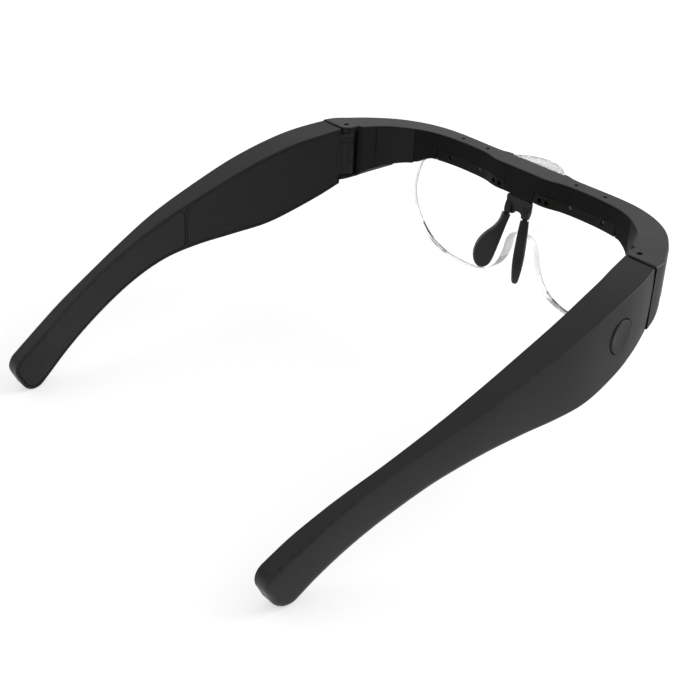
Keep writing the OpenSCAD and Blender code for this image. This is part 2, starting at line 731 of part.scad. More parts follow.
module magnifier_lens() {
  color("#dfe9ee", 0.5) set_down() translate([0, lens_rear, 0]) rotate([90, 0, 0])
    linear_extrude(lens_thickness)
      polygon(concat(lens_outline, backwards(mirrored(lens_outline))));
}

// A block of temple between two stations, set in from its outside, inside, crest and belly
module temple_block(y0, y1, from_wide = 0, from_near = 0, from_crest = 0, from_belly = 0) {
  plan = concat(
    shifted(clipped(wide_line, y0, y1), -from_wide),
    backwards(shifted(clipped(near_line, y0, y1), from_near))
  );
  side = concat(
    shifted(clipped(crest_line, y0, min(y1, upper_tip[0])), -from_crest),
    y1 < upper_tip[0] ? [] : arc_points(upper_tip, tip_r - from_crest, tip_slope, tip_turn, 8),
    y1 < upper_tip[0] ? [] : arc_points(lower_tip, tip_r - from_belly, tip_turn, tip_slope - 180, 10),
    backwards(shifted(clipped(belly_line, y0, min(y1, lower_tip[0] - 4)), from_belly))
  );
  intersection() {
    slab(-temple_drop - 1, 1, swapped(plan));
    rotate([90, 0, 90]) translate([0, 0, -20]) linear_extrude(60) polygon(side);
  }
}

// The tongue and barrel that fold about the pin
module hinge_barrel() {
  tall = pocket_tall - 2 * barrel_end_gap;
  translate([0, 0, pocket_z + barrel_end_gap]) {
    cylinder(r = barrel_r, h = tall);
    translate([-knuckle_in, 0, 0]) cube([knuckle_in + knuckle_out, temple_front + 1, tall]);
  }
}

module temple_shell() {
  difference() {
    union() {
      temple_block(temple_front, temple_reach);
      hinge_barrel();
    }
    translate([0, 0, -hinge_height]) cylinder(r = pin_r + pin_clearance, h = hinge_height);
    // The bay
    temple_block(bay_front, bay_back, temple_wall, -1, temple_wall, temple_wall);
    // The seat of the inner cover
    difference() {
      temple_block(cover_start, cover_end, 0, -1, rim, rim);
      temple_block(temple_front, cover_end + 1, 0, inlay_seat);
    }
    // The seat of the grip
    difference() {
      temple_block(grip_start, temple_reach, 0, -1, rim, rim);
      temple_block(cover_end, temple_reach + 1, -1, inlay_seat, -1, -1);
    }
  }
}

module inner_slab(y0, y1) {
  difference() {
    temple_block(y0, y1, 0, 0, rim + seat_gap, rim + seat_gap);
    temple_block(y0 - 0.5, min(y1 + 0.5, temple_reach + 0.4), -1, inlay_wall, -1, -1);
  }
}
module temple_cover() { inner_slab(cover_start + seat_gap, cover_end - seat_gap); }
module temple_grip() { inner_slab(grip_start + seat_gap, temple_reach); }

module cell_box(gap) {
  translate(cell_centre) rotate([-cell_pitch_angle, 0, 0]) rotate([0, 0, -cell_turn])
    translate(-[cell_thickness / 2 + gap, cell_length / 2 + gap, cell_height / 2 + gap])
      cube([cell_thickness + 2 * gap, cell_length + 2 * gap, cell_height + 2 * gap]);
}
module temple_shell_left() {
  color("#37373b") set_down() left_side() {
    temple_shell();
    // Ribs that the battery cell rests on
    difference() {
      intersection() {
        temple_block(bay_front, bay_back, temple_wall / 2, 1, 1, 1);
        for (y = [20, 30.5, 41]) translate([cell_centre[0], y, -40]) cube([20, 1.2, 40]);
      }
      cell_box(0.1);
    }
  }
}
module temple_cover_left() { color("#252525") set_down() left_side() temple_cover(); }
module temple_grip_left() { color("#2d2d2d") set_down() left_side() temple_grip(); }
module battery_cell() { color("#b9bcc0") set_down() left_side() cell_box(0); }
module battery_leads() {
  color("#7a1f1f") set_down() left_side() for (z = [-11.4, -13])
    translate([4.9, lead_start, z]) rotate([-90, 0, 0]) cylinder(r = 0.5, h = lead_end - lead_start);
}

// Places a thing at the power button, with z pointing out of the temple's outer face
module at_button(depth, shift = 0, level = button_z) {
  translate([wide(button_y), button_y, 0]) rotate([0, 0, -face_turn])
    translate([-depth, shift, level]) rotate([0, 90, 0]) children();
}
module temple_shell_right() {
  color("#37373b") set_down() right_side() difference() {
    union() {
      temple_shell();
      for (hole = board_holes) intersection() {
        at_button(board_depth, hole[0], hole[1]) cylinder(r = 1.6, h = 12);
        temple_block(bay_front, bay_back, temple_wall / 2, 0, 1, 1);
      }
    }
    at_button(temple_wall + 1.5) cylinder(r = button_r + button_clearance, h = 6);
    for (hole = board_holes)
      at_button(board_depth + 1, hole[0], hole[1]) cylinder(r = screw_r, h = 4);
    socket_box(0.15, 6);
    at_button(board_depth - 1.4, light_shift, -40) rotate([0, -90, 0])
      cylinder(r = 0.9 + seat_gap, h = 14);
  }
}
module temple_cover_right() { color("#252525") set_down() right_side() temple_cover(); }
module temple_grip_right() { color("#2d2d2d") set_down() right_side() temple_grip(); }

module circuit_board() {
  color("#1f6b3a") set_down() right_side() difference() {
    at_button(board_depth + board_wall, board_shift - board_length / 2, board_top)
      cube([board_height, board_length, board_wall]);
    for (hole = board_holes)
      at_button(board_depth + 2, hole[0], hole[1]) cylinder(r = screw_r, h = 4);
  }
}
module control_chip() {
  color("#202020") set_down() right_side()
    at_button(board_depth + board_wall + 1, 6, board_top - 4) cube([4, 5, 1]);
}
module push_switch() {
  color("#c8c8c8") set_down() right_side() {
    at_button(board_depth) translate([-2, -2, 0]) cube([4, 4, switch_height]);
    at_button(board_depth - switch_height) cylinder(r = 1, h = plunger);
  }
}
module socket_box(gap, extra) {
  at_button(board_depth, socket_shift - socket_width / 2 - gap, socket_z + socket_length)
    translate([0, 0, -gap])
      cube([socket_length + extra, socket_width + 2 * gap, socket_thickness + 2 * gap]);
}
module charging_socket() {
  color("silver") set_down() right_side() difference() {
    socket_box(0, 0);
    at_button(board_depth - 0.3, socket_shift - socket_width / 2 + 0.3, socket_z + socket_length - 1)
      cube([socket_length, socket_width - 0.6, socket_thickness - 0.6]);
  }
  color("black") set_down() right_side()
    at_button(board_depth - 1.3, socket_shift - 3.2, socket_z + socket_length - 1)
      cube([socket_length - 2, 6.4, 0.66]);
}
module charge_light() {
  color("#d7e8d7") set_down() right_side()
    at_button(board_depth - 1.4, light_shift, belly(button_y + light_shift) + 0.1)
      rotate([0, -90, 0]) cylinder(r = 0.9, h = 8);
}
module board_screws() {
  color("silver") set_down() right_side() for (hole = board_holes) {
    at_button(board_depth + board_wall, hole[0], hole[1]) cylinder(r = screw_r, h = 3.4);
    at_button(board_depth + board_wall + 0.7, hole[0], hole[1]) cylinder(r = 1.1, h = 0.7);
  }
}

module power_button() {
  color("#2c2c2e") set_down() right_side() {
    at_button(flange_depth) cylinder(r = button_r, h = flange_depth + 0.4);
    at_button(flange_depth + flange_wall) cylinder(r = button_r + 0.9, h = flange_wall);
    at_button(stem_end) cylinder(r = 1.1, h = 0.5);
  }
}

brow_front_shell();
brow_rear_cover();
brow_pad();
lens_rail();
rail_screws();
shell_pins();
hinge_pin_left();
hinge_pin_right();
nose_bracket();
bracket_screw();
nose_pad_left();
nose_pad_right();
lamp_window();
lamp_reflector();
lamp_chips();
lamp_board();
lamp_wires();
magnifier_lens();
temple_shell_left();
temple_cover_left();
temple_grip_left();
battery_cell();
battery_leads();
temple_shell_right();
temple_cover_right();
temple_grip_right();
circuit_board();
control_chip();
push_switch();
charging_socket();
charge_light();
board_screws();
power_button();
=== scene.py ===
"""Lighted magnifying glasses, dressed for the studio.

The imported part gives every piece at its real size. This script models the visible pieces again
with rounded edges, seams and fine texture, gives every piece its finish, and sets up a plain
studio. Lengths in the classes are millimetres, measured from the middle of the line between the
two hinge pins, at the level of the brow bar's top face: x to the wearer's left, y back towards
the wearer, z up. settle() moves finished pieces from there into the shared frame in metres.
"""

from __future__ import annotations

import json
import logging
import math
from dataclasses import dataclass, field
from enum import Enum
from typing import Callable, ClassVar, Sequence

import bpy
import numpy as np
from mathutils import Matrix, Vector


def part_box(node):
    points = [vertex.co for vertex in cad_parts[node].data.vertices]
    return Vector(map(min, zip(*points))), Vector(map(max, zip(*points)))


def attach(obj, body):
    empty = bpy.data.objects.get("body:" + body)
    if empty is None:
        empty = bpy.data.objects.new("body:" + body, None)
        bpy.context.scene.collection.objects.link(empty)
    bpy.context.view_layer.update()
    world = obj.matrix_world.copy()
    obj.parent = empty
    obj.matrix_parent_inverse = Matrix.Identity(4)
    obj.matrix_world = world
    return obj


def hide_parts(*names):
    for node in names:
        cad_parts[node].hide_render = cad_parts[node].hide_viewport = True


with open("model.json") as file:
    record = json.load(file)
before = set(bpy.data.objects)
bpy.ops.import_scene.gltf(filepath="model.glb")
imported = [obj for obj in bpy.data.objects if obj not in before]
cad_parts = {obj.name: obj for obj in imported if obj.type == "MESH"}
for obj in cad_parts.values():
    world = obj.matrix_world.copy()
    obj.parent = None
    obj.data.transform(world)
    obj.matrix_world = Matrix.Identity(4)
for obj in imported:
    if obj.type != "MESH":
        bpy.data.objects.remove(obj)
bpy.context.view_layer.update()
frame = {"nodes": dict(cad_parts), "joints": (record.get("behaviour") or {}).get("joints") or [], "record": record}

log = logging.getLogger("magnifying_glasses")

MM = 0.001
QUARTER_TURN = math.pi / 2
FULL_TURN = 2 * math.pi
# A level under the whole bar, where cuts from below start
BELOW_ALL = -30
# How strongly large faces lead the shading, where 50 is evenly
LARGE_FACE_WEIGHT = 80
LEFT_HINGE = next(j for j in frame["joints"] if j["name"] == "temple_fold_left")
HALF_SPAN = LEFT_HINGE["pos_m"][0] / MM
HINGE_Y = LEFT_HINGE["pos_m"][1] / MM
BAR_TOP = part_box("brow_front_shell")[1][2] / MM
HINGE_LINE = np.array([0, HINGE_Y, BAR_TOP])

Field = Callable[[np.ndarray, np.ndarray], np.ndarray]
Lay = Callable[[np.ndarray, np.ndarray, np.ndarray], np.ndarray]


class Side(Enum):
    """The wearer's left or right side. The value is the sign of x there."""

    LEFT = 1
    RIGHT = -1

    @property
    def label(self) -> str:
        """The side's word in the names of pieces and bodies."""
        return self.name.lower()


# Curves


def smooth_line(points: Sequence[Sequence[float]], steps: int = 12) -> np.ndarray:
    """A smooth line through a few chosen points.

    Between b and c, with neighbours a and d, it is half of
    2b + (c - a)t + (2a - 5b + 4c - d)t^2 + (3b - a - 3c + d)t^3.

    Args:
        points: the points that the line passes through.
        steps: how many pieces each span is cut into.

    Returns:
        The line's points, one row each.
    """
    p = np.asarray(points, float)
    ends = np.vstack([p[:1], p, p[-1:]])
    a, b, c, d = (ends[k : len(ends) - 3 + k, None, :] for k in range(4))
    t = (np.arange(steps) / steps)[None, :, None]
    curve = 0.5 * (
        2 * b + (c - a) * t + (2 * a - 5 * b + 4 * c - d) * t**2 + (3 * b - a - 3 * c + d) * t**3
    )
    return np.vstack([curve.reshape(-1, p.shape[1]), p[-1:]])


def arc(centre: Sequence[float], radius: float, start: float, end: float, count: int) -> np.ndarray:
    """Points on a circle's arc, between two angles in degrees, both ends included."""
    angle = np.radians(np.linspace(start, end, count))
    return np.asarray(centre) + radius * np.stack([np.cos(angle), np.sin(angle)], axis=1)


def moved_aside(line: np.ndarray, distance: float) -> np.ndarray:
    """A line moved sideways along its own normals.

    Args:
        line: the points to move.
        distance: how far they move, to the right of the way that the line runs.

    Returns:
        The moved points; the last one keeps its x.
    """
    along = np.gradient(line, axis=0)
    normal = np.stack([along[:, 1], -along[:, 0]], axis=1)
    moved = line + distance * normal / np.linalg.norm(normal, axis=1, keepdims=True)
    moved[-1, 0] = line[-1, 0]
    return moved


def both_sides(half: np.ndarray) -> np.ndarray:
    """A half line that ends at the middle, carried on to its mirror image on the other side."""
    return np.vstack([half, half[-2::-1] * [-1, 1]])


def crowded(start: float, end: float, count: int) -> np.ndarray:
    """Stations from start to end, closer and closer together towards both ends."""
    return start + (end - start) * 0.5 * (1 - np.cos(np.linspace(0, math.pi, count)))


def ramp(value: np.ndarray, start: float, end: float) -> np.ndarray:
    """0 before start, 1 after end, and 3t^2 - 2t^3 between them."""
    t = np.clip((value - start) / (end - start), 0, 1)
    return t * t * (3 - 2 * t)


def level(height: float) -> Field:
    """A flat surface at one height over a drawing plane."""
    return lambda a, b: np.full(np.shape(a), float(height))


# Solids


@dataclass
class Solid:
    """A closed surface in millimetres.

    Args:
        points: one row of x, y and z for each point.
        quads: four point numbers for each face, two of them alike for a triangle.
        caps: faces with more corners.
        rim: 1 for a point on a rounded edge and 0 elsewhere.
    """

    points: np.ndarray
    quads: np.ndarray
    caps: list[np.ndarray]
    rim: np.ndarray

    def volume(self) -> float:
        """The signed volume: a third of the sum of each triangle's corner product, halved.

        Returns:
            The volume in cubic millimetres, below zero where faces look inwards.
        """
        fans = [self.quads[:, [0, 1, 2]], self.quads[:, [0, 2, 3]]]
        fans += [
            np.stack([np.full(len(c) - 2, c[0]), c[1:-1], c[2:]], axis=1) for c in self.caps
        ]
        a, b, c = (self.points[np.vstack(fans)[:, k]] for k in range(3))
        return float(np.einsum("ij,ij->", a, np.cross(b, c))) / 6

    def outward(self) -> "Solid":
        """The same solid with its faces turned outwards.

        Returns:
            The solid itself.
        """
        if self.volume() < 0:
            self.quads = self.quads[:, ::-1]
            self.caps = [c[::-1] for c in self.caps]
        return self


def inset_direction(ring: np.ndarray) -> np.ndarray:
    """How each point of a closed outline moves when the outline shrinks by one.

    It is the sum of the inward normals of the two edges that meet there, divided by one plus
    their product, so that both edges move in by the same amount.

    Args:
        ring: the outline's points in order.

    Returns:
        One vector for each point, at most two long.
    """
    edge = np.roll(ring, -1, axis=0) - ring
    edge /= np.maximum(np.linalg.norm(edge, axis=1, keepdims=True), 1e-9)
    turned = np.stack([-edge[:, 1], edge[:, 0]], axis=1)
    x, y = ring.T
    area = np.sum(x * np.roll(y, -1) - np.roll(x, -1) * y)
    normal = turned * np.sign(area)
    before = np.roll(normal, 1, axis=0)
    reach = np.maximum(1 + np.sum(normal * before, axis=1, keepdims=True), 0.5)
    return (normal + before) / reach


def rolled_sides(
    ring: np.ndarray,
    near: Field,
    far: Field,
    near_r: np.ndarray | float,
    far_r: np.ndarray | float,
    segments: int,
) -> tuple[np.ndarray, np.ndarray]:
    """The rings of points down the side of a slab whose edges are rounded.

    At turn t from 0 to 90 degrees a rounded edge of radius r lies r(1 - sin t) inside the
    outline and r(1 - cos t) below the face.

    Args:
        ring: the slab's outline.
        near: the near face over the outline's plane.
        far: the far face over the outline's plane.
        near_r: radius of the near edge, one number or one for each point.
        far_r: radius of the far edge, one number or one for each point.
        segments: faces across each rounded edge.

    Returns:
        The rings as an array of rings, points and a, b, c, and the rim mark of each point.
    """
    inward = inset_direction(ring)
    rings, marks = [], []
    for face, radius, sign in ((near, near_r, 1), (far, far_r, -1)):
        r = np.broadcast_to(np.asarray(radius, float), (len(ring),))
        turns = np.linspace(0, QUARTER_TURN, segments + 1)[0 if r.max() > 0 else -1 :]
        group = []
        for turn in turns:
            flat = ring + inward * (r * (1 - math.sin(turn)))[:, None]
            height = face(flat[:, 0], flat[:, 1]) + sign * r * (1 - math.cos(turn))
            group.append(np.column_stack([flat, height]))
        mark = [float(0 < k < len(turns) - 1) for k in range(len(turns))]
        rings += group if sign > 0 else group[::-1]
        marks += mark if sign > 0 else mark[::-1]
    return np.array(rings), np.repeat(marks, len(ring))


def bands(rings: int, count: int) -> np.ndarray:
    """The quads between neighbouring closed rings.

    Args:
        rings: how many rings there are.
        count: points on each ring.

    Returns:
        Four point numbers for each quad.
    """
    number = np.arange(rings * count).reshape(rings, count)
    a, b = number[:-1], number[1:]
    return np.stack([a, np.roll(a, -1, 1), np.roll(b, -1, 1), b], axis=-1).reshape(-1, 4)


def rolled_slab(
    upper: np.ndarray,
    lower: np.ndarray,
    near: Field,
    far: Field,
    near_r: np.ndarray | float = 0.0,
    far_r: np.ndarray | float = 0.0,
    lay: Lay | None = None,
    segments: int = 4,
    across: int = 1,
) -> Solid:
    """A slab between two faces, with an outline made of two paired lines and rounded edges.

    Both faces are ruled grids from the upper line to the lower one. Where the lines meet at an
    end, the outline closes in a point there.

    Args:
        upper: one side of the outline.
        lower: the other side, point for point.
        near: height of the near face over the outline's plane.
        far: height of the far face.
        near_r: radius of the near edge, one number or one for each point of upper then lower.
        far_r: radius of the far edge, likewise.
        lay: turns the outline's a, b and the height c into x, y, z.
        segments: faces across each rounded edge.
        across: cells between the two lines.

    Returns:
        The slab as a closed solid.
    """
    m = len(upper)
    shut = [bool(np.allclose(upper[k], lower[k], atol=1e-6)) for k in (0, -1)]
    share = (np.arange(1, across) / across)[:, None]
    radii = [np.broadcast_to(np.asarray(r, float), (2 * m,)) for r in (near_r, far_r)]

    def edge(values_up: np.ndarray, values_low: np.ndarray) -> np.ndarray:
        """Values all round the outline: upper, far end, lower backwards, near end.

        Args:
            values_up: one row for each point of the upper line.
            values_low: one row for each point of the lower line.

        Returns:
            One row for each point of the outline.
        """
        up, low = values_up.reshape(m, -1), values_low.reshape(m, -1)
        end = np.zeros((0, up.shape[1])) if shut[1] else up[-1] + (low[-1] - up[-1]) * share
        begin = np.zeros((0, up.shape[1])) if shut[0] else low[0] + (up[0] - low[0]) * share
        back = low[::-1][(1 if shut[1] else 0) : (m - 1 if shut[0] else m)]
        return np.vstack([up, end, back, begin])

    ring = edge(upper, lower)
    r = [edge(v[:m], v[m:])[:, 0] for v in radii]
    stack, marks = rolled_sides(ring, near, far, r[0], r[1], segments)
    rings, n = len(stack), len(ring)
    order = np.arange(n)
    grid = np.full((m, across + 1), -1)
    grid[:, 0] = order[:m]
    ends = 0 if shut[1] else across - 1
    if shut[1]:
        grid[-1, :] = order[m - 1]
    else:
        grid[-1, 1:across] = order[m : m + ends]
    first, last = (1 if shut[0] else 0), (m - 1 if shut[1] else m)
    grid[first:last, across] = order[m + ends : m + ends + last - first][::-1]
    if shut[0]:
        grid[0, :] = order[0]
    elif across > 1:
        grid[0, 1:across] = order[n - across + 1 :][::-1]
    inner_rows = np.arange(1, m - 1)
    points, quads, marks_all = [stack.reshape(-1, 3)], [bands(rings, n)], [marks]
    total = rings * n
    for face, top in ((near, 0), (far, rings - 1)):
        numbers = grid + top * n
        flat = stack[top][:, :2]
        a, b = flat[grid[inner_rows, 0]], flat[grid[inner_rows, across]]
        cells = a[:, None, :] + (b - a)[:, None, :] * share[None]
        cells = cells.reshape(-1, 2)
        if len(cells):
            count = len(inner_rows) * (across - 1)
            numbers[1 : m - 1, 1:across] = total + np.arange(count).reshape(-1, across - 1)
            points.append(np.column_stack([cells, face(cells[:, 0], cells[:, 1])]))
            marks_all.append(np.zeros(count))
            total += count
        quad = np.stack(
            [numbers[:-1, :-1], numbers[:-1, 1:], numbers[1:, 1:], numbers[1:, :-1]], axis=-1
        ).reshape(-1, 4)
        quads.append(quad if top == 0 else quad[:, ::-1])
    return closed(np.vstack(points), np.vstack(quads), [], np.concatenate(marks_all), lay)


def rolled_prism(
    ring: np.ndarray,
    near: float,
    far: float,
    near_r: np.ndarray | float = 0.0,
    far_r: np.ndarray | float = 0.0,
    lay: Lay | None = None,
    segments: int = 4,
) -> Solid:
    """A prism with any outline, flat ends and rounded end edges.

    Args:
        ring: the outline's points in order.
        near: height of the near end.
        far: height of the far end.
        near_r: radius of the near edge, one number or one for each point.
        far_r: radius of the far edge, likewise.
        lay: turns the outline's a, b and the height c into x, y, z.
        segments: faces across each rounded edge.

    Returns:
        The prism as a closed solid.
    """
    stack, marks = rolled_sides(ring, level(near), level(far), near_r, far_r, segments)
    return capped(stack, marks, lay)


def turned(profile: Sequence[Sequence[float]], count: int = 64, lay: Lay | None = None) -> Solid:
    """A solid turned about an axis: each profile point r, h goes to r cos t, r sin t, h.

    Args:
        profile: radius and height of the points from one pole to the other, poles left out.
        count: points round the axis.
        lay: turns x, y and the height into the piece's place.

    Returns:
        The turned solid, its ends closed by flat caps.
    """
    r, h = np.asarray(profile, float).T[:, :, None]
    t = np.linspace(0, FULL_TURN, count, endpoint=False)
    stack = spots(r * np.cos(t), r * np.sin(t), np.repeat(h, count, 1))
    return capped(stack, np.zeros(stack[..., 0].size), lay)


def capped(stack: np.ndarray, marks: np.ndarray, lay: Lay | None) -> Solid:
    """A solid of closed rings of points with a flat cap at each end.

    Args:
        stack: the rings as an array of rings, points and coordinates.
        marks: the rim mark of each point.
        lay: turns the coordinates into x, y, z.

    Returns:
        The closed solid.
    """
    rings, count = stack.shape[:2]
    number = np.arange(rings * count).reshape(rings, count)
    caps = [number[0][::-1], number[-1]]
    return closed(stack.reshape(-1, 3), bands(rings, count), caps, marks, lay)


def closed(
    points: np.ndarray, quads: np.ndarray, caps: list[np.ndarray], marks: np.ndarray,
    lay: Lay | None,
) -> Solid:
    """Puts a solid's points in place and turns its faces outwards."""
    return Solid(lay(*points.T) if lay else points, quads, caps, marks).outward()


def block(low: Sequence[float], high: Sequence[float], radius: float = 0.0) -> Solid:
    """A box with sharp upright edges.

    Args:
        low: its corner with the lowest coordinates.
        high: the corner across from it.
        radius: rounding of its level edges.

    Returns:
        The box as a closed solid.
    """
    (x0, y0, z0), (x1, y1, z1) = low, high
    ring = np.array([[x0, y0], [x1, y0], [x1, y1], [x0, y1]], float)
    return rolled_prism(ring, z0, z1, radius, radius)


def bore(x: float, z: float, radius: float, low: float, high: float) -> Solid:
    """A level cylinder that runs back from y low to y high."""
    return turned([[radius, low], [radius, high]], 32, lambda a, b, c: spots(a + x, c, b + z))


def rod(x: float, y: float, radius: float, low: float, high: float, count: int = 48) -> Solid:
    """An upright cylinder."""
    return turned([[radius, low], [radius, high]], count, lambda a, b, c: spots(a + x, b + y, c))


def spots(x: np.ndarray, y: np.ndarray, z: np.ndarray) -> np.ndarray:
    """Points from their three coordinates."""
    return np.stack([x, y, z], axis=-1)


def facing_front(a: np.ndarray, b: np.ndarray, c: np.ndarray) -> np.ndarray:
    """A drawing seen from the front, put in place: a is x, b the level, and c runs back."""
    return spots(a, c, b)


def as_object(name: str, solid: Solid) -> bpy.types.Object:
    """A mesh object of a solid, still in millimetres.

    Args:
        name: the object's name.
        solid: its surface; the rim marks stay on its points, and faces shut to a line go.

    Returns:
        The object, linked to the scene.
    """
    mesh = bpy.data.meshes.new(name)
    repeated = (solid.quads[:, 2] == solid.quads[:, 3]) | (solid.quads[:, 3] == solid.quads[:, 0])
    doubled = (solid.quads[:, 1] == solid.quads[:, 2]) | (solid.quads[:, 0] == solid.quads[:, 1])
    faces = solid.quads[~repeated & ~doubled].tolist()
    faces += solid.quads[repeated & ~doubled][:, :3].tolist()
    faces += solid.quads[doubled & ~repeated][:, [0, 2, 3]].tolist()
    faces += [c.tolist() for c in solid.caps]
    mesh.from_pydata(solid.points.tolist(), [], faces)
    mesh.attributes.new("rim", "FLOAT", "POINT").data.foreach_set("value", solid.rim)
    piece = bpy.data.objects.new(name, mesh)
    bpy.context.scene.collection.objects.link(piece)
    return piece


def carve(
    piece: bpy.types.Object, tools: Sequence[Solid | bpy.types.Object], way: str = "DIFFERENCE"
) -> None:
    """Cuts solids out of a piece, joins them to it or keeps what they share.

    Args:
        piece: the piece to change.
        tools: solids or objects, used one after another and then deleted.
        way: the Boolean operation.
    """
    helpers = [as_object("tool", tool) if isinstance(tool, Solid) else tool for tool in tools]
    for helper in helpers:
        step = piece.modifiers.new("carve", "BOOLEAN")
        step.operation, step.solver, step.object = way, "EXACT", helper
    bpy.context.view_layer.update()
    graph = bpy.context.evaluated_depsgraph_get()
    carved = bpy.data.meshes.new_from_object(piece.evaluated_get(graph))
    piece.modifiers.clear()
    old, piece.data = piece.data, carved
    bpy.data.meshes.remove(old)
    for helper in helpers:
        mesh = helper.data
        bpy.data.objects.remove(helper)
        bpy.data.meshes.remove(mesh)


def joined(name: str, solids: Sequence[Solid]) -> bpy.types.Object:
    """One object of several solids, united.

    Args:
        name: the object's name.
        solids: what it is made of, at least two.

    Returns:
        The united object.
    """
    piece = as_object(name, solids[0])
    carve(piece, solids[1:], "UNION")
    return piece


def settle(
    piece: bpy.types.Object,
    finish: "Finish",
    body: str,
    nodes: Sequence[str],
    sharp: float = 32,
    weighted: bool = True,
) -> bpy.types.Object:
    """Moves a finished piece into the shared frame, dresses it and binds it to its body.

    Args:
        piece: the piece, in millimetres from the hinge line.
        finish: its finish.
        body: the moving body that it rides on.
        nodes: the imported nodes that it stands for.
        sharp: edges that turn by more degrees than this stay crisp.
        weighted: whether large faces lead the shading of the small ones beside them.

    Returns:
        The piece.
    """
    mesh = piece.data
    points = np.empty(len(mesh.vertices) * 3, np.float32)
    mesh.vertices.foreach_get("co", points)
    points = (points.reshape(-1, 3) + HINGE_LINE) * MM
    mesh.vertices.foreach_set("co", points.astype(np.float32).ravel())
    mesh.polygons.foreach_set("use_smooth", np.ones(len(mesh.polygons), bool))
    mesh.set_sharp_from_angle(angle=math.radians(sharp))
    mesh.materials.clear()
    mesh.materials.append(finish.material())
    mesh.update()
    if weighted:
        shade = piece.modifiers.new("even_shading", "WEIGHTED_NORMAL")
        shade.keep_sharp, shade.weight = True, LARGE_FACE_WEIGHT
    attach(piece, body)
    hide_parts(*nodes)
    count = len(mesh.polygons)
    log.info("%s: %d faces on %s, stands for %s", piece.name, count, body, ", ".join(nodes))
    return piece


def dress_faces(
    piece: bpy.types.Object,
    finish: "Finish",
    chosen: Callable[[np.ndarray, np.ndarray], np.ndarray],
) -> None:
    """Gives a second finish to the faces that a rule chooses.

    Args:
        piece: the settled piece.
        finish: the second finish.
        chosen: takes the faces' middles, in millimetres from the hinge line, and their normals.
    """
    mesh = piece.data
    middle, normal = (np.empty(len(mesh.polygons) * 3, np.float32) for _ in range(2))
    mesh.polygons.foreach_get("center", middle)
    mesh.polygons.foreach_get("normal", normal)
    middle = middle.reshape(-1, 3) / MM - HINGE_LINE
    worn_by = np.empty(len(mesh.polygons), np.int32)
    mesh.polygons.foreach_get("material_index", worn_by)
    worn_by[chosen(middle, normal.reshape(-1, 3))] = len(mesh.materials)
    mesh.materials.append(finish.material())
    mesh.polygons.foreach_set("material_index", worn_by)


# Finishes


def add_node(tree: bpy.types.NodeTree, kind: str, **values: object) -> bpy.types.Node:
    """Adds a node to a tree.

    Args:
        tree: the tree.
        kind: the node's type.
        values: each goes to the property of that name, or else to the input of that name.

    Returns:
        The node.
    """
    made = tree.nodes.new(kind)
    for label, value in values.items():
        if hasattr(made, label):
            setattr(made, label, value)
        else:
            made.inputs[label.replace("_", " ")].default_value = value
    return made


def feed(tree: bpy.types.NodeTree, value: object, target: bpy.types.NodeSocket) -> None:
    """Gives an input its value.

    Args:
        tree: the tree.
        value: a socket to link, or a constant.
        target: the input.
    """
    if isinstance(value, bpy.types.NodeSocket):
        tree.links.new(value, target)
    else:
        target.default_value = value


def math_node(
    tree: bpy.types.NodeTree, operation: str, first: object, second: object, clamp: bool = False
) -> bpy.types.NodeSocket:
    """The result of a sum on two values.

    Args:
        tree: the tree.
        operation: the Math node's operation.
        first: a socket or a constant.
        second: a socket or a constant.
        clamp: whether the result stays between 0 and 1.

    Returns:
        The result's socket.
    """
    made = add_node(tree, "ShaderNodeMath", operation=operation, use_clamp=clamp)
    feed(tree, first, made.inputs[0])
    feed(tree, second, made.inputs[1])
    return made.outputs[0]


def mapped(
    tree: bpy.types.NodeTree, value: bpy.types.NodeSocket, **ends: float
) -> bpy.types.NodeSocket:
    """A value carried from one range to another and held at both ends.

    Args:
        tree: the tree.
        value: the value's socket.
        ends: the Map Range node's ends by name.

    Returns:
        The result's socket.
    """
    made = add_node(tree, "ShaderNodeMapRange", **ends)
    tree.links.new(value, made.inputs["Value"])
    return made.outputs["Result"]


# Places of a Mix node's two inputs and its output, for each kind of data
MIX_PLACES = {"FLOAT": (2, 3, 0), "RGBA": (6, 7, 2)}


def blended(
    tree: bpy.types.NodeTree, kind: str, factor: bpy.types.NodeSocket, first: object, second: object
) -> bpy.types.NodeSocket:
    """A blend of two values or colours.

    Args:
        tree: the tree.
        kind: FLOAT or RGBA.
        factor: 0 for the first and 1 for the second.
        first: a socket or a constant.
        second: a socket or a constant.

    Returns:
        The blend's socket.
    """
    made = add_node(tree, "ShaderNodeMix", data_type=kind)
    first_place, second_place, result = MIX_PLACES[kind]
    tree.links.new(factor, made.inputs["Factor"])
    feed(tree, first, made.inputs[first_place])
    feed(tree, second, made.inputs[second_place])
    return made.outputs[result]


class Group:
    """A shader group that takes and gives values only."""

    def __init__(self, name: str, inputs: dict[str, float], outputs: Sequence[str]) -> None:
        """Makes the group and its sockets.

        Args:
            name: the group's name.
            inputs: the value of each input when none is given.
            outputs: the names of its outputs.
        """
        self.tree = bpy.data.node_groups.new(name, "ShaderNodeTree")
        sockets = self.tree.interface
        for label, value in inputs.items():
            socket = sockets.new_socket(label, in_out="INPUT", socket_type="NodeSocketFloat")
            socket.default_value = value
        for label in outputs:
            sockets.new_socket(label, in_out="OUTPUT", socket_type="NodeSocketFloat")
        self.inputs = self.tree.nodes.new("NodeGroupInput").outputs
        self.outputs = self.tree.nodes.new("NodeGroupOutput").inputs


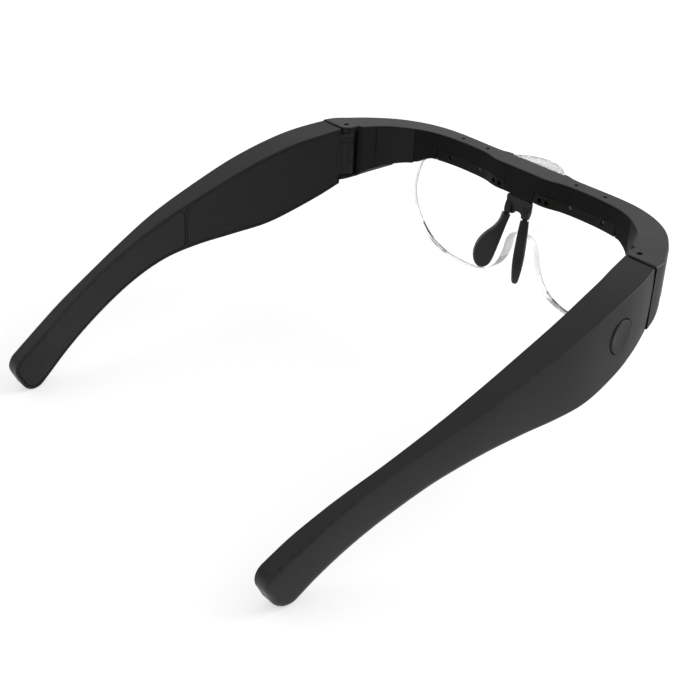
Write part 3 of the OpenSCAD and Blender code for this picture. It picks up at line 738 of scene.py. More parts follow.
def grain_group() -> bpy.types.NodeTree:
    """Moulded grain, built once: fine noise with sparse pits, and a slow mottle.

    Returns:
        The group's tree, which gives a Height and a Mottle.
    """
    known = bpy.data.node_groups.get("moulded_grain")
    if known:
        return known
    inputs = {"Scale": 3000.0, "Pits": 0.0, "Mottle Scale": 60.0}
    group = Group("moulded_grain", inputs, ("Height", "Mottle"))
    tree = group.tree
    place = add_node(tree, "ShaderNodeTexCoord").outputs["Object"]
    fine = add_node(tree, "ShaderNodeTexNoise", Detail=3.0, Roughness=0.6)
    cells = add_node(tree, "ShaderNodeTexVoronoi", feature="F1")
    slow = add_node(tree, "ShaderNodeTexNoise", Detail=2.0)
    for texture, label in ((fine, "Scale"), (cells, "Scale"), (slow, "Mottle Scale")):
        tree.links.new(place, texture.inputs["Vector"])
        tree.links.new(group.inputs[label], texture.inputs["Scale"])
    pit = math_node(tree, "MULTIPLY", cells.outputs["Distance"], group.inputs["Pits"])
    height = math_node(tree, "ADD", fine.outputs["Fac"], pit)
    tree.links.new(height, group.outputs["Height"])
    tree.links.new(slow.outputs["Fac"], group.outputs["Mottle"])
    return tree


def lighter_rims_group() -> bpy.types.NodeTree:
    """Lighter colour on rounded edges, built once: the rim mark, broken up by noise and scaled.

    Returns:
        The group's tree, which gives a Mask.
    """
    known = bpy.data.node_groups.get("rim_wear")
    if known:
        return known
    group = Group("rim_wear", {"Amount": 0.5}, ("Mask",))
    tree = group.tree
    mark = add_node(tree, "ShaderNodeAttribute", attribute_name="rim").outputs["Fac"]
    noise = add_node(tree, "ShaderNodeTexNoise", Scale=420.0, Detail=3.0)
    place = add_node(tree, "ShaderNodeTexCoord").outputs["Object"]
    tree.links.new(place, noise.inputs["Vector"])
    patch = mapped(tree, noise.outputs["Fac"], From_Min=0.35, From_Max=0.65, To_Min=0.4)
    broken = math_node(tree, "MULTIPLY", mark, patch)
    scaled = math_node(tree, "MULTIPLY", broken, group.inputs["Amount"])
    tree.links.new(scaled, group.outputs["Mask"])
    return tree


@dataclass(frozen=True)
class Finish:
    """A moulded, rubber or metal finish.

    Args:
        slot: the record's material slot.
        colour: the base colour, linear.
        rim_colour: the colour at worn edges.
        rough: the mean roughness.
        gloss: the specular level.
        grain: features of the fine grain for each metre.
        depth: depth of the grain in metres.
        pits: how strongly small pits show in the grain.
        mottle: how far colour and roughness wander.
        rim_colour: the colour at the rounded edges.
        wear: how much the rounded edges lighten.
        metallic: 1 for bare metal.
    """

    slot: str
    colour: tuple[float, float, float]
    rim_colour: tuple[float, float, float] = (0.12, 0.12, 0.12)
    rough: float = 0.5
    gloss: float = 0.4
    grain: float = 4000.0
    depth: float = 0.00002
    pits: float = 0.0
    mottle: float = 0.15
    wear: float = 0.25
    metallic: float = 0.0

    bumps: ClassVar[str] = "Height"
    rough_share: ClassVar[float] = 0.5

    @property
    def look(self) -> str:
        """The material's name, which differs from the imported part's own."""
        return f"{self.slot}_look"

    def tinted(self, share: float) -> tuple[float, ...]:
        """The colour scaled by a share, with full alpha."""
        return tuple(c * share for c in self.colour) + (1.0,)

    def material(self) -> bpy.types.Material:
        """The finish's material, built once: its colouring, roughness and grain.

        Returns:
            The material.
        """
        known = bpy.data.materials.get(self.look)
        if known:
            return known
        made = bpy.data.materials.new(self.look)
        made.use_nodes = True
        tree = made.node_tree
        shader = tree.nodes["Principled BSDF"]
        grain = add_node(tree, "ShaderNodeGroup", node_tree=grain_group(), Scale=self.grain)
        self.colouring(tree, shader, grain)
        spread = self.mottle * self.rough_share
        least, most = max(self.rough - spread, 0), self.rough + spread
        rough = mapped(tree, grain.outputs["Mottle"], To_Min=least, To_Max=most)
        tree.links.new(rough, shader.inputs["Roughness"])
        bump = add_node(tree, "ShaderNodeBump", Distance=self.depth, Strength=1.0)
        tree.links.new(grain.outputs[self.bumps], bump.inputs["Height"])
        tree.links.new(bump.outputs["Normal"], shader.inputs["Normal"])
        return made

    def colouring(
        self, tree: bpy.types.NodeTree, shader: bpy.types.Node, grain: bpy.types.Node
    ) -> None:
        """Colours the shader: mottled, and lighter on the rounded edges.

        Args:
            tree: the material's tree.
            shader: its Principled node.
            grain: its grain group.
        """
        shader.inputs["Metallic"].default_value = self.metallic
        shader.inputs["Specular IOR Level"].default_value = self.gloss
        grain.inputs["Pits"].default_value = self.pits
        # The rounded edges are coloured lighter, by the rim mark broken up by noise
        wear = add_node(tree, "ShaderNodeGroup", node_tree=lighter_rims_group(), Amount=self.wear)
        dark, light = (self.tinted(1 + way * self.mottle) for way in (-1, 1))
        body = blended(tree, "RGBA", grain.outputs["Mottle"], dark, light)
        edge = blended(tree, "RGBA", wear.outputs["Mask"], body, self.rim_colour + (1.0,))
        tree.links.new(edge, shader.inputs["Base Color"])


@dataclass(frozen=True)
class ClearFinish(Finish):
    """A clear moulded finish: light passes through it, bent and slightly tinted.

    Args:
        bending: the refractive index.
        transmission: how much light passes.
        shade: how much darker the painted shade patches are: the base colour darkened in patches, standing in for
            facets that turn light away.
        patch: patches for each metre.
    """

    bending: float = 1.49
    transmission: float = 1.0
    shade: float = 0.0
    patch: float = 90.0

    bumps: ClassVar[str] = "Mottle"
    rough_share: ClassVar[float] = 1.0

    def colouring(
        self, tree: bpy.types.NodeTree, shader: bpy.types.Node, grain: bpy.types.Node
    ) -> None:
        """Sets how light passes, and paints shade into the base colour in patches where the finish has a shade.

        Args:
            tree: the material's tree.
            shader: its Principled node.
            grain: its grain group.
        """
        shader.inputs["IOR"].default_value = self.bending
        shader.inputs["Transmission Weight"].default_value = self.transmission
        shader.inputs["Base Color"].default_value = self.tinted(1)
        grain.inputs["Mottle Scale"].default_value = self.patch
        # Painted shade: the base colour darkens in noise patches
        if self.shade > 0:
            patch = mapped(tree, grain.outputs["Mottle"], From_Min=0.46, From_Max=0.54)
            painted_shade_colour = blended(tree, "RGBA", patch, self.tinted(1), self.tinted(1 - self.shade))
            tree.links.new(painted_shade_colour, shader.inputs["Base Color"])


FRONT_SHELL = Finish(
    "front_shell_plastic", (0.018, 0.018, 0.018), rough=0.42, gloss=0.35, wear=0.07
)
REAR_COVER = Finish("rear_cover_plastic", (0.007, 0.007, 0.007), rough=0.5, gloss=0.19, wear=0.06)
BROW_PAD = Finish(
    "brow_pad_rubber", (0.005, 0.005, 0.005), rough=0.75, gloss=0.17, grain=1800, depth=0.0001,
    pits=1.2, wear=0.05,
)
RAIL = Finish("rail_plastic", (0.0062, 0.006, 0.0048), rough=0.45, gloss=0.11, wear=0.04)
BRACKET = Finish("bracket_plastic", (0.012, 0.012, 0.012), rough=0.5, gloss=0.25, wear=0.12)
NOSE_PAD = Finish(
    "nose_pad_silicone", (0.013, 0.013, 0.013), rough=0.45, gloss=0.34, grain=2500,
    depth=0.00001, wear=0.05,
)
TEMPLE_SHELL = Finish(
    "temple_shell_plastic", (0.013, 0.013, 0.0132), rough=0.42, gloss=0.27, wear=0.15
)
TEMPLE_COVER = Finish(
    "temple_cover_plastic", (0.008, 0.008, 0.008), rough=0.5, gloss=0.24, wear=0.05
)
GRIP = Finish(
    "grip_rubber", (0.012, 0.012, 0.012), rough=0.6, gloss=0.26, grain=2200, depth=0.0001,
    pits=1.0, wear=0.06,
)
BUTTON = Finish("button_plastic", (0.015, 0.015, 0.0152), rough=0.42, gloss=0.27, wear=0.1)
# The lamp window's grey streaks are painted shade: darker patches in its colour, standing in for dark things seen
# through it
LAMP_WINDOW = ClearFinish(
    "lamp_window_plastic", (1.0, 1.0, 1.0), rough=0.2, mottle=0.08, shade=0.07, transmission=0.75,
)
LENS = ClearFinish("lens_acrylic", (1.0, 1.0, 1.0), rough=0.0, mottle=0.0, depth=0.0)
# The lens edge is paler and less clear, with darker patches of painted shade standing in for facets that turn
# light away
LENS_EDGE = ClearFinish(
    "lens_edge", (1.0, 1.0, 0.98), rough=0.12, mottle=0.06, shade=0.15, transmission=0.35,
    patch=220.0,
)
# The nose notch's edge is nearly opaque white, with faint patches of painted shade
LENS_NOTCH = ClearFinish(
    "lens_notch", (1.0, 1.0, 0.99), rough=0.4, mottle=0.1, shade=0.04, transmission=0.05,
    patch=220.0,
)
# Painted reflections: grey, mostly opaque faces with near-black patches, standing in for the dark parts seen in
# the lens's low edge
LENS_PAINTED_REFLECTION = ClearFinish(
    "lens_painted_reflection", (0.6, 0.6, 0.58), rough=0.1, mottle=0.04, shade=0.93, transmission=0.2,
    patch=260.0,
)

NODE_FINISHES: tuple[Finish, ...] = (
    Finish("screw_steel", (0.06, 0.06, 0.058), rough=0.35, gloss=0.5, metallic=1.0, depth=0.000004),
    Finish("pin_steel", (0.012, 0.012, 0.012), rough=0.6, gloss=0.4, metallic=1.0, depth=0.000004),
    Finish("reflector_plastic", (0.8, 0.8, 0.79), rim_colour=(0.9, 0.9, 0.9), rough=0.25, mottle=0.03),
    Finish("light_chip", (0.75, 0.62, 0.2), rough=0.35, mottle=0.1, depth=0.000005),
    Finish("board_laminate", (0.04, 0.16, 0.07), rough=0.35, mottle=0.2, depth=0.00001),
    Finish("wire_insulation", (0.25, 0.02, 0.02), rough=0.5, mottle=0.1, depth=0.000005),
    Finish("battery_foil", (0.55, 0.55, 0.57), rough=0.3, metallic=1.0, depth=0.00005, grain=900),
    Finish("chip_plastic", (0.014, 0.014, 0.014), rough=0.55, depth=0.00001),
    Finish("switch_body", (0.5, 0.5, 0.5), rough=0.35, metallic=1.0, depth=0.000005),
    Finish("socket_steel", (0.55, 0.55, 0.55), rough=0.3, metallic=1.0, depth=0.000004),
    ClearFinish("light_guide", (0.9, 0.95, 0.9), rough=0.35, mottle=0.05),
)


# Sub-assemblies


@dataclass
class BrowBar:
    """The brow bar: its front shell, rear cover and soft pad.

    Args:
        reach: how far the front face lies ahead of the hinge pins.
        depth: depth of the bar beside the lamp.
        height: height of the bar over the lens.
        hinge_height: height of the bar at its hinges.
        flare: how far the bar stands out beyond a pin.
        bulge: how far the middle of the rear face stands back.
        wall: wall of the front shell.
        top_wall: thickness of the top face.
        cover_wall: thickness of the rear cover.
        pad_wall: thickness of the pad.
        edge_r: rounding of the top face's edge.
        end_tilt: how many degrees an end's underside tilts up outwards.
        boss_r: radius of the boss that an end's underside leaves round the pin.
        slot_half: half width of the lens's slot.
        lens_slot_top: level of the slot's roof.
        pad_half: half width of the pad.
        middle_half: half width of the deep middle of the cover and the pad.
        wing_end: how far inside a pin the rear cover ends.
        end_front: y of the bar's end face.
        lip: thickness of the top face's lip over the pad.
        pin_r: radius of the hinge pins.
        barrel_r: radius of the barrels between the forks.
        fork_plate: thickness of a fork's plates.
        lamp_half: half width of the lamp's seat.
        shell_pin_x: where the shell's pins stand on each side.
        shell_pin_r: their radius.
        rail_screw_x: where the rail's screws stand on each side.
        latch_gaps: from the middle part to each latch window.
        latch_width: width and depth of a latch window.
        latch_height: its height.
        latch_rise: its level over the rail's underside.
    """

    reach: float = 29.4
    depth: float = 6.4
    height: float = 10.4
    hinge_height: float = 21.0
    flare: float = 9.4
    bulge: float = 2.0
    wall: float = 1.3
    top_wall: float = 1.4
    cover_wall: float = 1.1
    pad_wall: float = 0.9
    edge_r: float = 0.45
    slot_half: float = 42.0
    lens_slot_top: float = -6.0
    pad_half: float = 50.5
    middle_half: float = 7.4
    wing_end: float = 7.9
    end_front: float = 3.4
    end_tilt: float = 25.0
    boss_r: float = 5.0
    lip: float = 0.35
    pin_r: float = 0.8
    barrel_r: float = 3.7
    fork_plate: float = 2.2
    lamp_half: float = 12.0
    shell_pin_x: tuple[float, float] = (20.8, 33.3)
    shell_pin_r: float = 0.6
    rail_screw_x: tuple[float, float] = (21.4, 35.9)
    latch_gaps: tuple[float, float] = (1.4, 4.4)
    latch_width: float = 1.6
    latch_height: float = 1.5
    latch_rise: float = 1.1
    outer: np.ndarray = field(init=False)
    inner: np.ndarray = field(init=False)
    underside: np.ndarray = field(init=False)
    end_rise: np.ndarray = field(init=False)

    def __post_init__(self) -> None:
        """Draws the bar's lines in plan for the left half, from the hinge to the middle."""
        h, reach, inner_reach = HALF_SPAN, self.reach, self.reach - self.depth
        self.outer = smooth_line([
            [h + self.flare, self.end_front], [h + self.flare - 0.9, -0.05 * reach],
            [h + 5.8, -0.2 * reach], [h + 1.9, -0.4 * reach], [h - 5.1, -0.67 * reach],
            [h - 13, -0.85 * reach], [h - 22, -0.96 * reach], [h - 32, -reach],
            [18.5, -reach], [self.lamp_half + 0.6, -reach - 1], [0, -reach - 1],
        ])
        self.inner = smooth_line([
            [h - 6.1, -4.5], [h - 9.8, -0.48 * inner_reach], [h - 16.4, -0.74 * inner_reach],
            [h - 23.1, -0.9 * inner_reach], [h - 30, -0.97 * inner_reach],
            [h - 37.5, -inner_reach], [22.9, -inner_reach],
            [17.8, -inner_reach + 0.25 * self.bulge], [11.8, -inner_reach + self.bulge],
            [5, -inner_reach + self.bulge], [0, -inner_reach + self.bulge],
        ])
        self.underside = smooth_line([
            [self.slot_half + 2.6, -self.height], [h - 19.7, self.down(0.15)],
            [h - 18, self.down(0.27)], [h - 15, self.down(0.32)], [h - 11.2, self.down(0.42)],
            [h - 7.5, self.down(0.57)], [h - 5.9, self.down(0.68)], [h - 3.5, self.down(0.88)],
            [h, -self.hinge_height],
        ])
        self.end_rise = smooth_line([
            [self.end_front + 0.4, self.down(1.03)], [0.6, self.down(0.82)],
            [-1.5, self.down(0.57)], [-3.1, self.down(0.35)], [-5.5, self.down(0.26)],
            [-11.5, self.down(0.21)], [-26, self.down(0.17)],
        ])

    def down(self, share: float) -> float:
        """A level between the bar's height over the lens and its height at the hinge."""
        return -self.height - share * (self.hinge_height - self.height)

    def underside_at(self, x: np.ndarray) -> np.ndarray:
        """Level of the bar's underside at a distance from the middle."""
        return np.interp(np.abs(x), self.underside[:, 0], self.underside[:, 1])

    def fork(self) -> np.ndarray:
        """The plan of the plates that hold a pin: an arc round it, then a short wing.

        Returns:
            The points of the left plate, from the end face round to the inside.
        """
        r = self.end_front + 0.3
        start = math.degrees(math.asin(self.end_front / r))
        return np.vstack([
            arc([HALF_SPAN, 0], r, 180 - start, 180, 14),
            [[HALF_SPAN - r, -2.7], [HALF_SPAN - 5.6, -3.3]],
        ])

    def plan(self) -> np.ndarray:
        """The whole bar's outline seen from above."""
        rear = np.vstack([self.fork(), self.inner])
        return np.vstack([both_sides(self.outer), both_sides(rear)[::-1]])

    def rear_band(self, near: float, far: float, half: float, top: float) -> Solid:
        """A band along the rear face, open below.

        Args:
            near: depth inside the face where it starts.
            far: depth where it ends.
            half: half width at which it is cut off.
            top: level of its upper end.

        Returns:
            The band as a closed solid.
        """
        lines = [
            both_sides(self.cut_off(moved_aside(self.inner, -depth), half)) for depth in (far, near)
        ]
        return rolled_prism(np.vstack([lines[0], lines[1][::-1]]), BELOW_ALL, top)

    @staticmethod
    def cut_off(line: np.ndarray, half: float) -> np.ndarray:
        """The part of a half line that lies within a half width.

        Args:
            line: the half line, from outside to the middle.
            half: the half width.

        Returns:
            The line from the cut to the middle.
        """
        order = np.argsort(line[:, 0])
        y = np.interp(half, line[order, 0], line[order, 1])
        return np.vstack([[half, y], line[line[:, 0] < half - 0.05]])

    def under_end(self, side: int) -> bpy.types.Object:
        """What is cut away under an end: it tilts up outwards and leaves a boss round the pin.

        Args:
            side: the sign of x there.

        Returns:
            The cutting solid as an object.
        """
        tilt = math.radians(self.end_tilt)
        y, z = self.end_rise.T
        ring = np.vstack([np.column_stack([y, z * math.cos(tilt)]), [[y[-1], -60], [y[0], -60]]])

        def lay(a: np.ndarray, b: np.ndarray, c: np.ndarray) -> np.ndarray:
            """a runs back, b up across the slope and c outwards along it."""
            out = HALF_SPAN + self.flare - 1 + c * math.cos(tilt) - b * math.sin(tilt)
            return spots(side * out, a, c * math.sin(tilt) + b * math.cos(tilt))

        piece = as_object("tool", rolled_prism(ring, -40, 20, lay=lay))
        carve(piece, [rod(side * HALF_SPAN, 0, self.boss_r, -self.hinge_height - 2, -2, 72)])
        return piece

    def height_profile(self) -> Solid:
        """The bar's shape seen from the front, as a prism: arched over the lens.

        Returns:
            The prism, which runs from front to back.
        """
        low = np.vstack([[HALF_SPAN + 20, -self.hinge_height], self.underside[::-1]])
        ring = np.vstack([both_sides(np.vstack([low, [[0, -self.height]]])),
                          [[-HALF_SPAN - 20, 5], [HALF_SPAN + 20, 5]]])
        return rolled_prism(ring, -60, 20, lay=facing_front)

    def hollow(self, side: int) -> Solid:
        """The hollow behind the front wall, on one side of the middle.

        Args:
            side: the sign of x there.

        Returns:
            The hollow as a closed solid.
        """
        line = moved_aside(self.outer, self.wall + 0.2)
        line = line[line[:, 1] < -8]
        ring = np.vstack([[HALF_SPAN, -8], line, [[0, -15], [HALF_SPAN - 12, -8]]])
        return rolled_prism(ring * [side, 1], -self.height, -self.top_wall)

    def pockets(self, side: int) -> list[Solid]:
        """Where the hinge barrel turns: round the pin, towards the wearer and behind.

        Args:
            side: the sign of x there.

        Returns:
            The cutting solids, the pin's hole last.
        """
        low = -self.hinge_height + self.fork_plate
        x, top = side * HALF_SPAN, -self.fork_plate
        across = sorted([x, x - side * 12])
        behind = sorted([x, x + side * 4])
        return [
            rod(x, 0, self.barrel_r + 0.4, low, top),
            block([across[0], -2.7, low], [across[1], 9.3, top]),
            block([behind[0], 0, low], [behind[1], 6, top]),
            rod(x, 0, self.pin_r + 0.15, -self.hinge_height - 1, 1),
        ]

    def front_shell(self) -> None:
        """The shell: the plan raised to the top face, arched below and cut for what it holds."""
        plan = self.plan()
        on_outer = np.arange(len(plan)) < 2 * len(self.outer) - 1
        edge_r = np.where(on_outer, self.edge_r + 0.45 * ramp(plan[:, 1], -16, 0), 0.35)
        body = rolled_prism(plan, -self.hinge_height, 0, 0.0, edge_r, segments=5)
        piece = as_object("brow_bar_shell", body)
        carve(piece, [self.height_profile()], "INTERSECT")
        slot_front = -self.reach + self.wall
        lamp_seat = -self.reach + 0.2
        half, slot = self.lamp_half + 0.15, self.slot_half
        end = HALF_SPAN - self.wing_end
        tools = [
            self.rear_band(-3, self.pad_wall + self.cover_wall + 0.1, end, -self.top_wall),
            self.rear_band(-3, self.pad_wall + 0.05, end, -self.lip),
            block([-slot, slot_front, BELOW_ALL], [slot, -10, self.lens_slot_top]),
            block([-half, -self.reach - 3, BELOW_ALL], [half, lamp_seat, 1]),
        ]
        for side in (1, -1):
            tools += [self.hollow(side), self.under_end(side), *self.pockets(side)]
            tools += [
                rod(side * x, -self.reach + self.depth - 2.9, self.shell_pin_r + 0.12, -3, 1, 32)
                for x in self.shell_pin_x
            ]
        carve(piece, tools)
        piece = settle(piece, FRONT_SHELL, "frame", ["brow_front_shell"])
        # Painted shade: faces that look down, and faces that look back or inwards without looking up, take the
        # darker cover finish
        dress_faces(
            piece, REAR_COVER,
            lambda at, n: (n[:, 2] < -0.5)
            | (n[:, 2] < 0.6) & ((n[:, 1] > 0.2) | (n[:, 0] * np.sign(at[:, 0]) < -0.4)),
        )

    def along_rear(
        self,
    ) -> tuple[Lay, Callable[[np.ndarray], np.ndarray], Callable[[float], float]]:
        """The rear face unrolled.

        Returns:
            A lay that takes length along the face, level and depth into the bar; the x at a
            length; and the length at an x.
        """
        line = both_sides(self.inner)[::-1]
        length = np.concatenate([[0], np.cumsum(np.linalg.norm(np.diff(line, axis=0), axis=1))])
        length -= length[-1] / 2
        slope = np.gradient(line, length, axis=0)
        x_at = lambda s: np.interp(s, length, line[:, 0])
        length_at = lambda x: float(np.interp(x, line[:, 0], length))

        def lay(s: np.ndarray, z: np.ndarray, depth: np.ndarray) -> np.ndarray:
            """The point on the rear face, moved into the bar.

            Args:
                s: length along the face from the middle.
                z: level.
                depth: how far it moves in.

            Returns:
                Its x, y and z.
            """
            x, y = (np.interp(s, length, line[:, k]) for k in (0, 1))
            dx, dy = (np.interp(s, length, slope[:, k]) for k in (0, 1))
            size = np.hypot(dx, dy)
            return spots(x + depth * dy / size, y - depth * dx / size, z)

        return lay, x_at, length_at

    def lower_edge(self, x: np.ndarray, raise_by: float) -> np.ndarray:
        """The lower edge of the cover and the pad: deep at the middle and beside the lens.

        Args:
            x: distances from the middle.
            raise_by: how far the edge stays above the bar's underside.

        Returns:
            The edge's levels.
        """
        away = np.abs(x)
        open_share = ramp(away, self.middle_half - 1.8, self.middle_half)
        open_share = open_share * (1 - ramp(away, self.slot_half, self.slot_half + 0.6))
        deep = self.underside_at(x) + raise_by
        return deep + (self.lens_slot_top - deep) * open_share

    def rear_strip(
        self, x_from: float, x_to: float, top: float, raise_by: float, near: Field, far: float,
        radius: float, across: int = 1,
    ) -> Solid:
        """A strip of the rear face with its lower edge and rounded borders.

        Args:
            x_from: where it starts.
            x_to: where it ends.
            top: level of its upper edge.
            raise_by: how far its lower edge stays above the bar's underside.
            near: depth of its outer face.
            far: depth of its inner face.
            radius: rounding of its borders.
            across: cells between its edges.

        Returns:
            The strip as a closed solid.
        """
        lay, x_at, length_at = self.along_rear()
        turns = [(side * x, reach) for side in (-1, 1)
                 for x, reach in ((self.middle_half - 0.9, 1.1), (self.slot_half + 0.3, 0.4))]
        near_turns = [
            length_at(x) + np.linspace(-reach, reach, 11) for x, reach in turns if x_from < x < x_to
        ]
        s = np.sort(np.concatenate([crowded(length_at(x_from), length_at(x_to), 200), *near_turns]))
        upper = np.column_stack([s, np.full(len(s), top)])
        lower = np.column_stack([s, self.lower_edge(x_at(s), raise_by)])
        return rolled_slab(upper, lower, near, level(far), radius, 0.0, lay, 4, across)

    def rear_cover(self) -> None:
        """The cover: a plate behind the pad, with a smooth wing at each end."""
        end = HALF_SPAN - self.wing_end - 0.03
        full, flush = self.pad_wall + self.cover_wall, level(self.pad_wall)
        plate = self.rear_strip(-end, end, -self.top_wall - 0.05, 0.1, flush, full, 0.0)
        start, stop = self.pad_half + 0.12, end - 0.02
        top, depth = -self.lip - 0.1, self.pad_wall + 0.03
        wings = [
            self.rear_strip(low, high, top, 0.1, level(0), depth, 0.05)
            for low, high in ((start, stop), (-stop, -start))
        ]
        piece = joined("brow_cover", [plate, *wings])
        carve(piece, [block([-3.5, -29, -12], [3.5, -16, -2.9])])
        settle(piece, REAR_COVER, "frame", ["brow_rear_cover"])

    def pad(self) -> None:
        """The soft pad: a strip with full round edges and a low crown across its height."""

        def face(s: np.ndarray, z: np.ndarray) -> np.ndarray:
            """How far the face stands out: a low crown up its height, slow waves along it."""
            return 0.09 + 0.03 * np.sin(s * 0.35) - 0.06 * np.cos((z + 6) * 0.5)

        half, top, depth = self.pad_half, -self.lip - 0.08, self.pad_wall - 0.02
        solid = self.rear_strip(-half, half, top, 0.25, face, depth, 0.22, 6)
        piece = settle(as_object("brow_cushion", solid), BROW_PAD, "frame", ["brow_pad"])

    def rail(self) -> None:
        """The rail that closes the lens's slot, flush under the pad, with blind latch windows."""
        low, top = -self.height + 0.2, self.lens_slot_top
        seat = self.depth - self.reach - self.pad_wall
        front, end = -self.reach + self.wall, self.slot_half - 0.1
        face = both_sides(self.cut_off(moved_aside(self.inner, -0.25), end))
        body = rolled_prism(np.vstack([[[-end, front], [end, front]], face]), low, top, 0.22, 0.0)
        piece = as_object("slot_rail", body)
        wide, narrow = self.middle_half + 0.15, self.middle_half - 1.55
        deep = -self.height + 0.3
        beside_pad = np.array([
            [-narrow, BELOW_ALL], [narrow, BELOW_ALL], [narrow, deep], [wide, top], [wide, 0],
            [-wide, 0], [-wide, top], [-narrow, deep],
        ])
        tools = [
            block([-60, front - 1, BELOW_ALL], [60, front + 3.4, top - 2.15]),
            rolled_prism(beside_pad, seat, -10, lay=facing_front),
            block([-60, seat, top - 0.2], [60, -10, 0]),
        ]
        floor = low + self.latch_rise
        for side in (1, -1):
            tools += [bore(side * x, top - 1.5, 0.85, seat, -15) for x in self.rail_screw_x]
            for gap in self.latch_gaps:
                x = self.middle_half + gap
                near, far = sorted([side * x, side * (x + self.latch_width)])
                window = [far, -15, floor + self.latch_height]
                tools.append(block([near, seat + self.latch_width, floor], window))
        carve(piece, tools)
        settle(piece, RAIL, "frame", ["lens_rail"])


@dataclass
class Lamp:
    """The lamp's clear window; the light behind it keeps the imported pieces.

    Args:
        half: half width of the window.
        reach: depth of its bow.
        height: its height.
        wall: its wall.
        front: y of the bow's foremost point.
        seat: y of its back.
    """

    half: float = 12.0
    reach: float = 7.0
    height: float = 9.6
    wall: float = 1.1
    front: float = -36.4
    seat: float = -29.2

    def plan(self, inset: float) -> np.ndarray:
        """The window seen from above: a bow in front and a straight back.

        Args:
            inset: how far the outline lies inside the window's own.

        Returns:
            The outline's points.
        """
        r = (self.half**2 + self.reach**2) / (2 * self.reach)
        half = self.half - inset
        turn = math.degrees(math.asin(half / (r - inset)))
        bow = arc([0, self.front + r], r - inset, 270 - turn, 270 + turn, 61)
        back = self.seat - 0.1 if inset == 0 else self.seat + 2
        return np.vstack([bow, [[half, back], [-half, back]]])

    def window(self) -> None:
        """A bowed clear cap with soft edges, open behind."""
        piece = as_object("lamp_lens", rolled_prism(self.plan(0), -self.height, -0.03, 0.7, 0.7))
        room = rolled_prism(self.plan(self.wall), -self.height + self.wall, -self.wall, 0.3, 0.3)
        carve(piece, [room])
        piece.visible_shadow = False
        settle(piece, LAMP_WINDOW, "frame", ["lamp_window"])


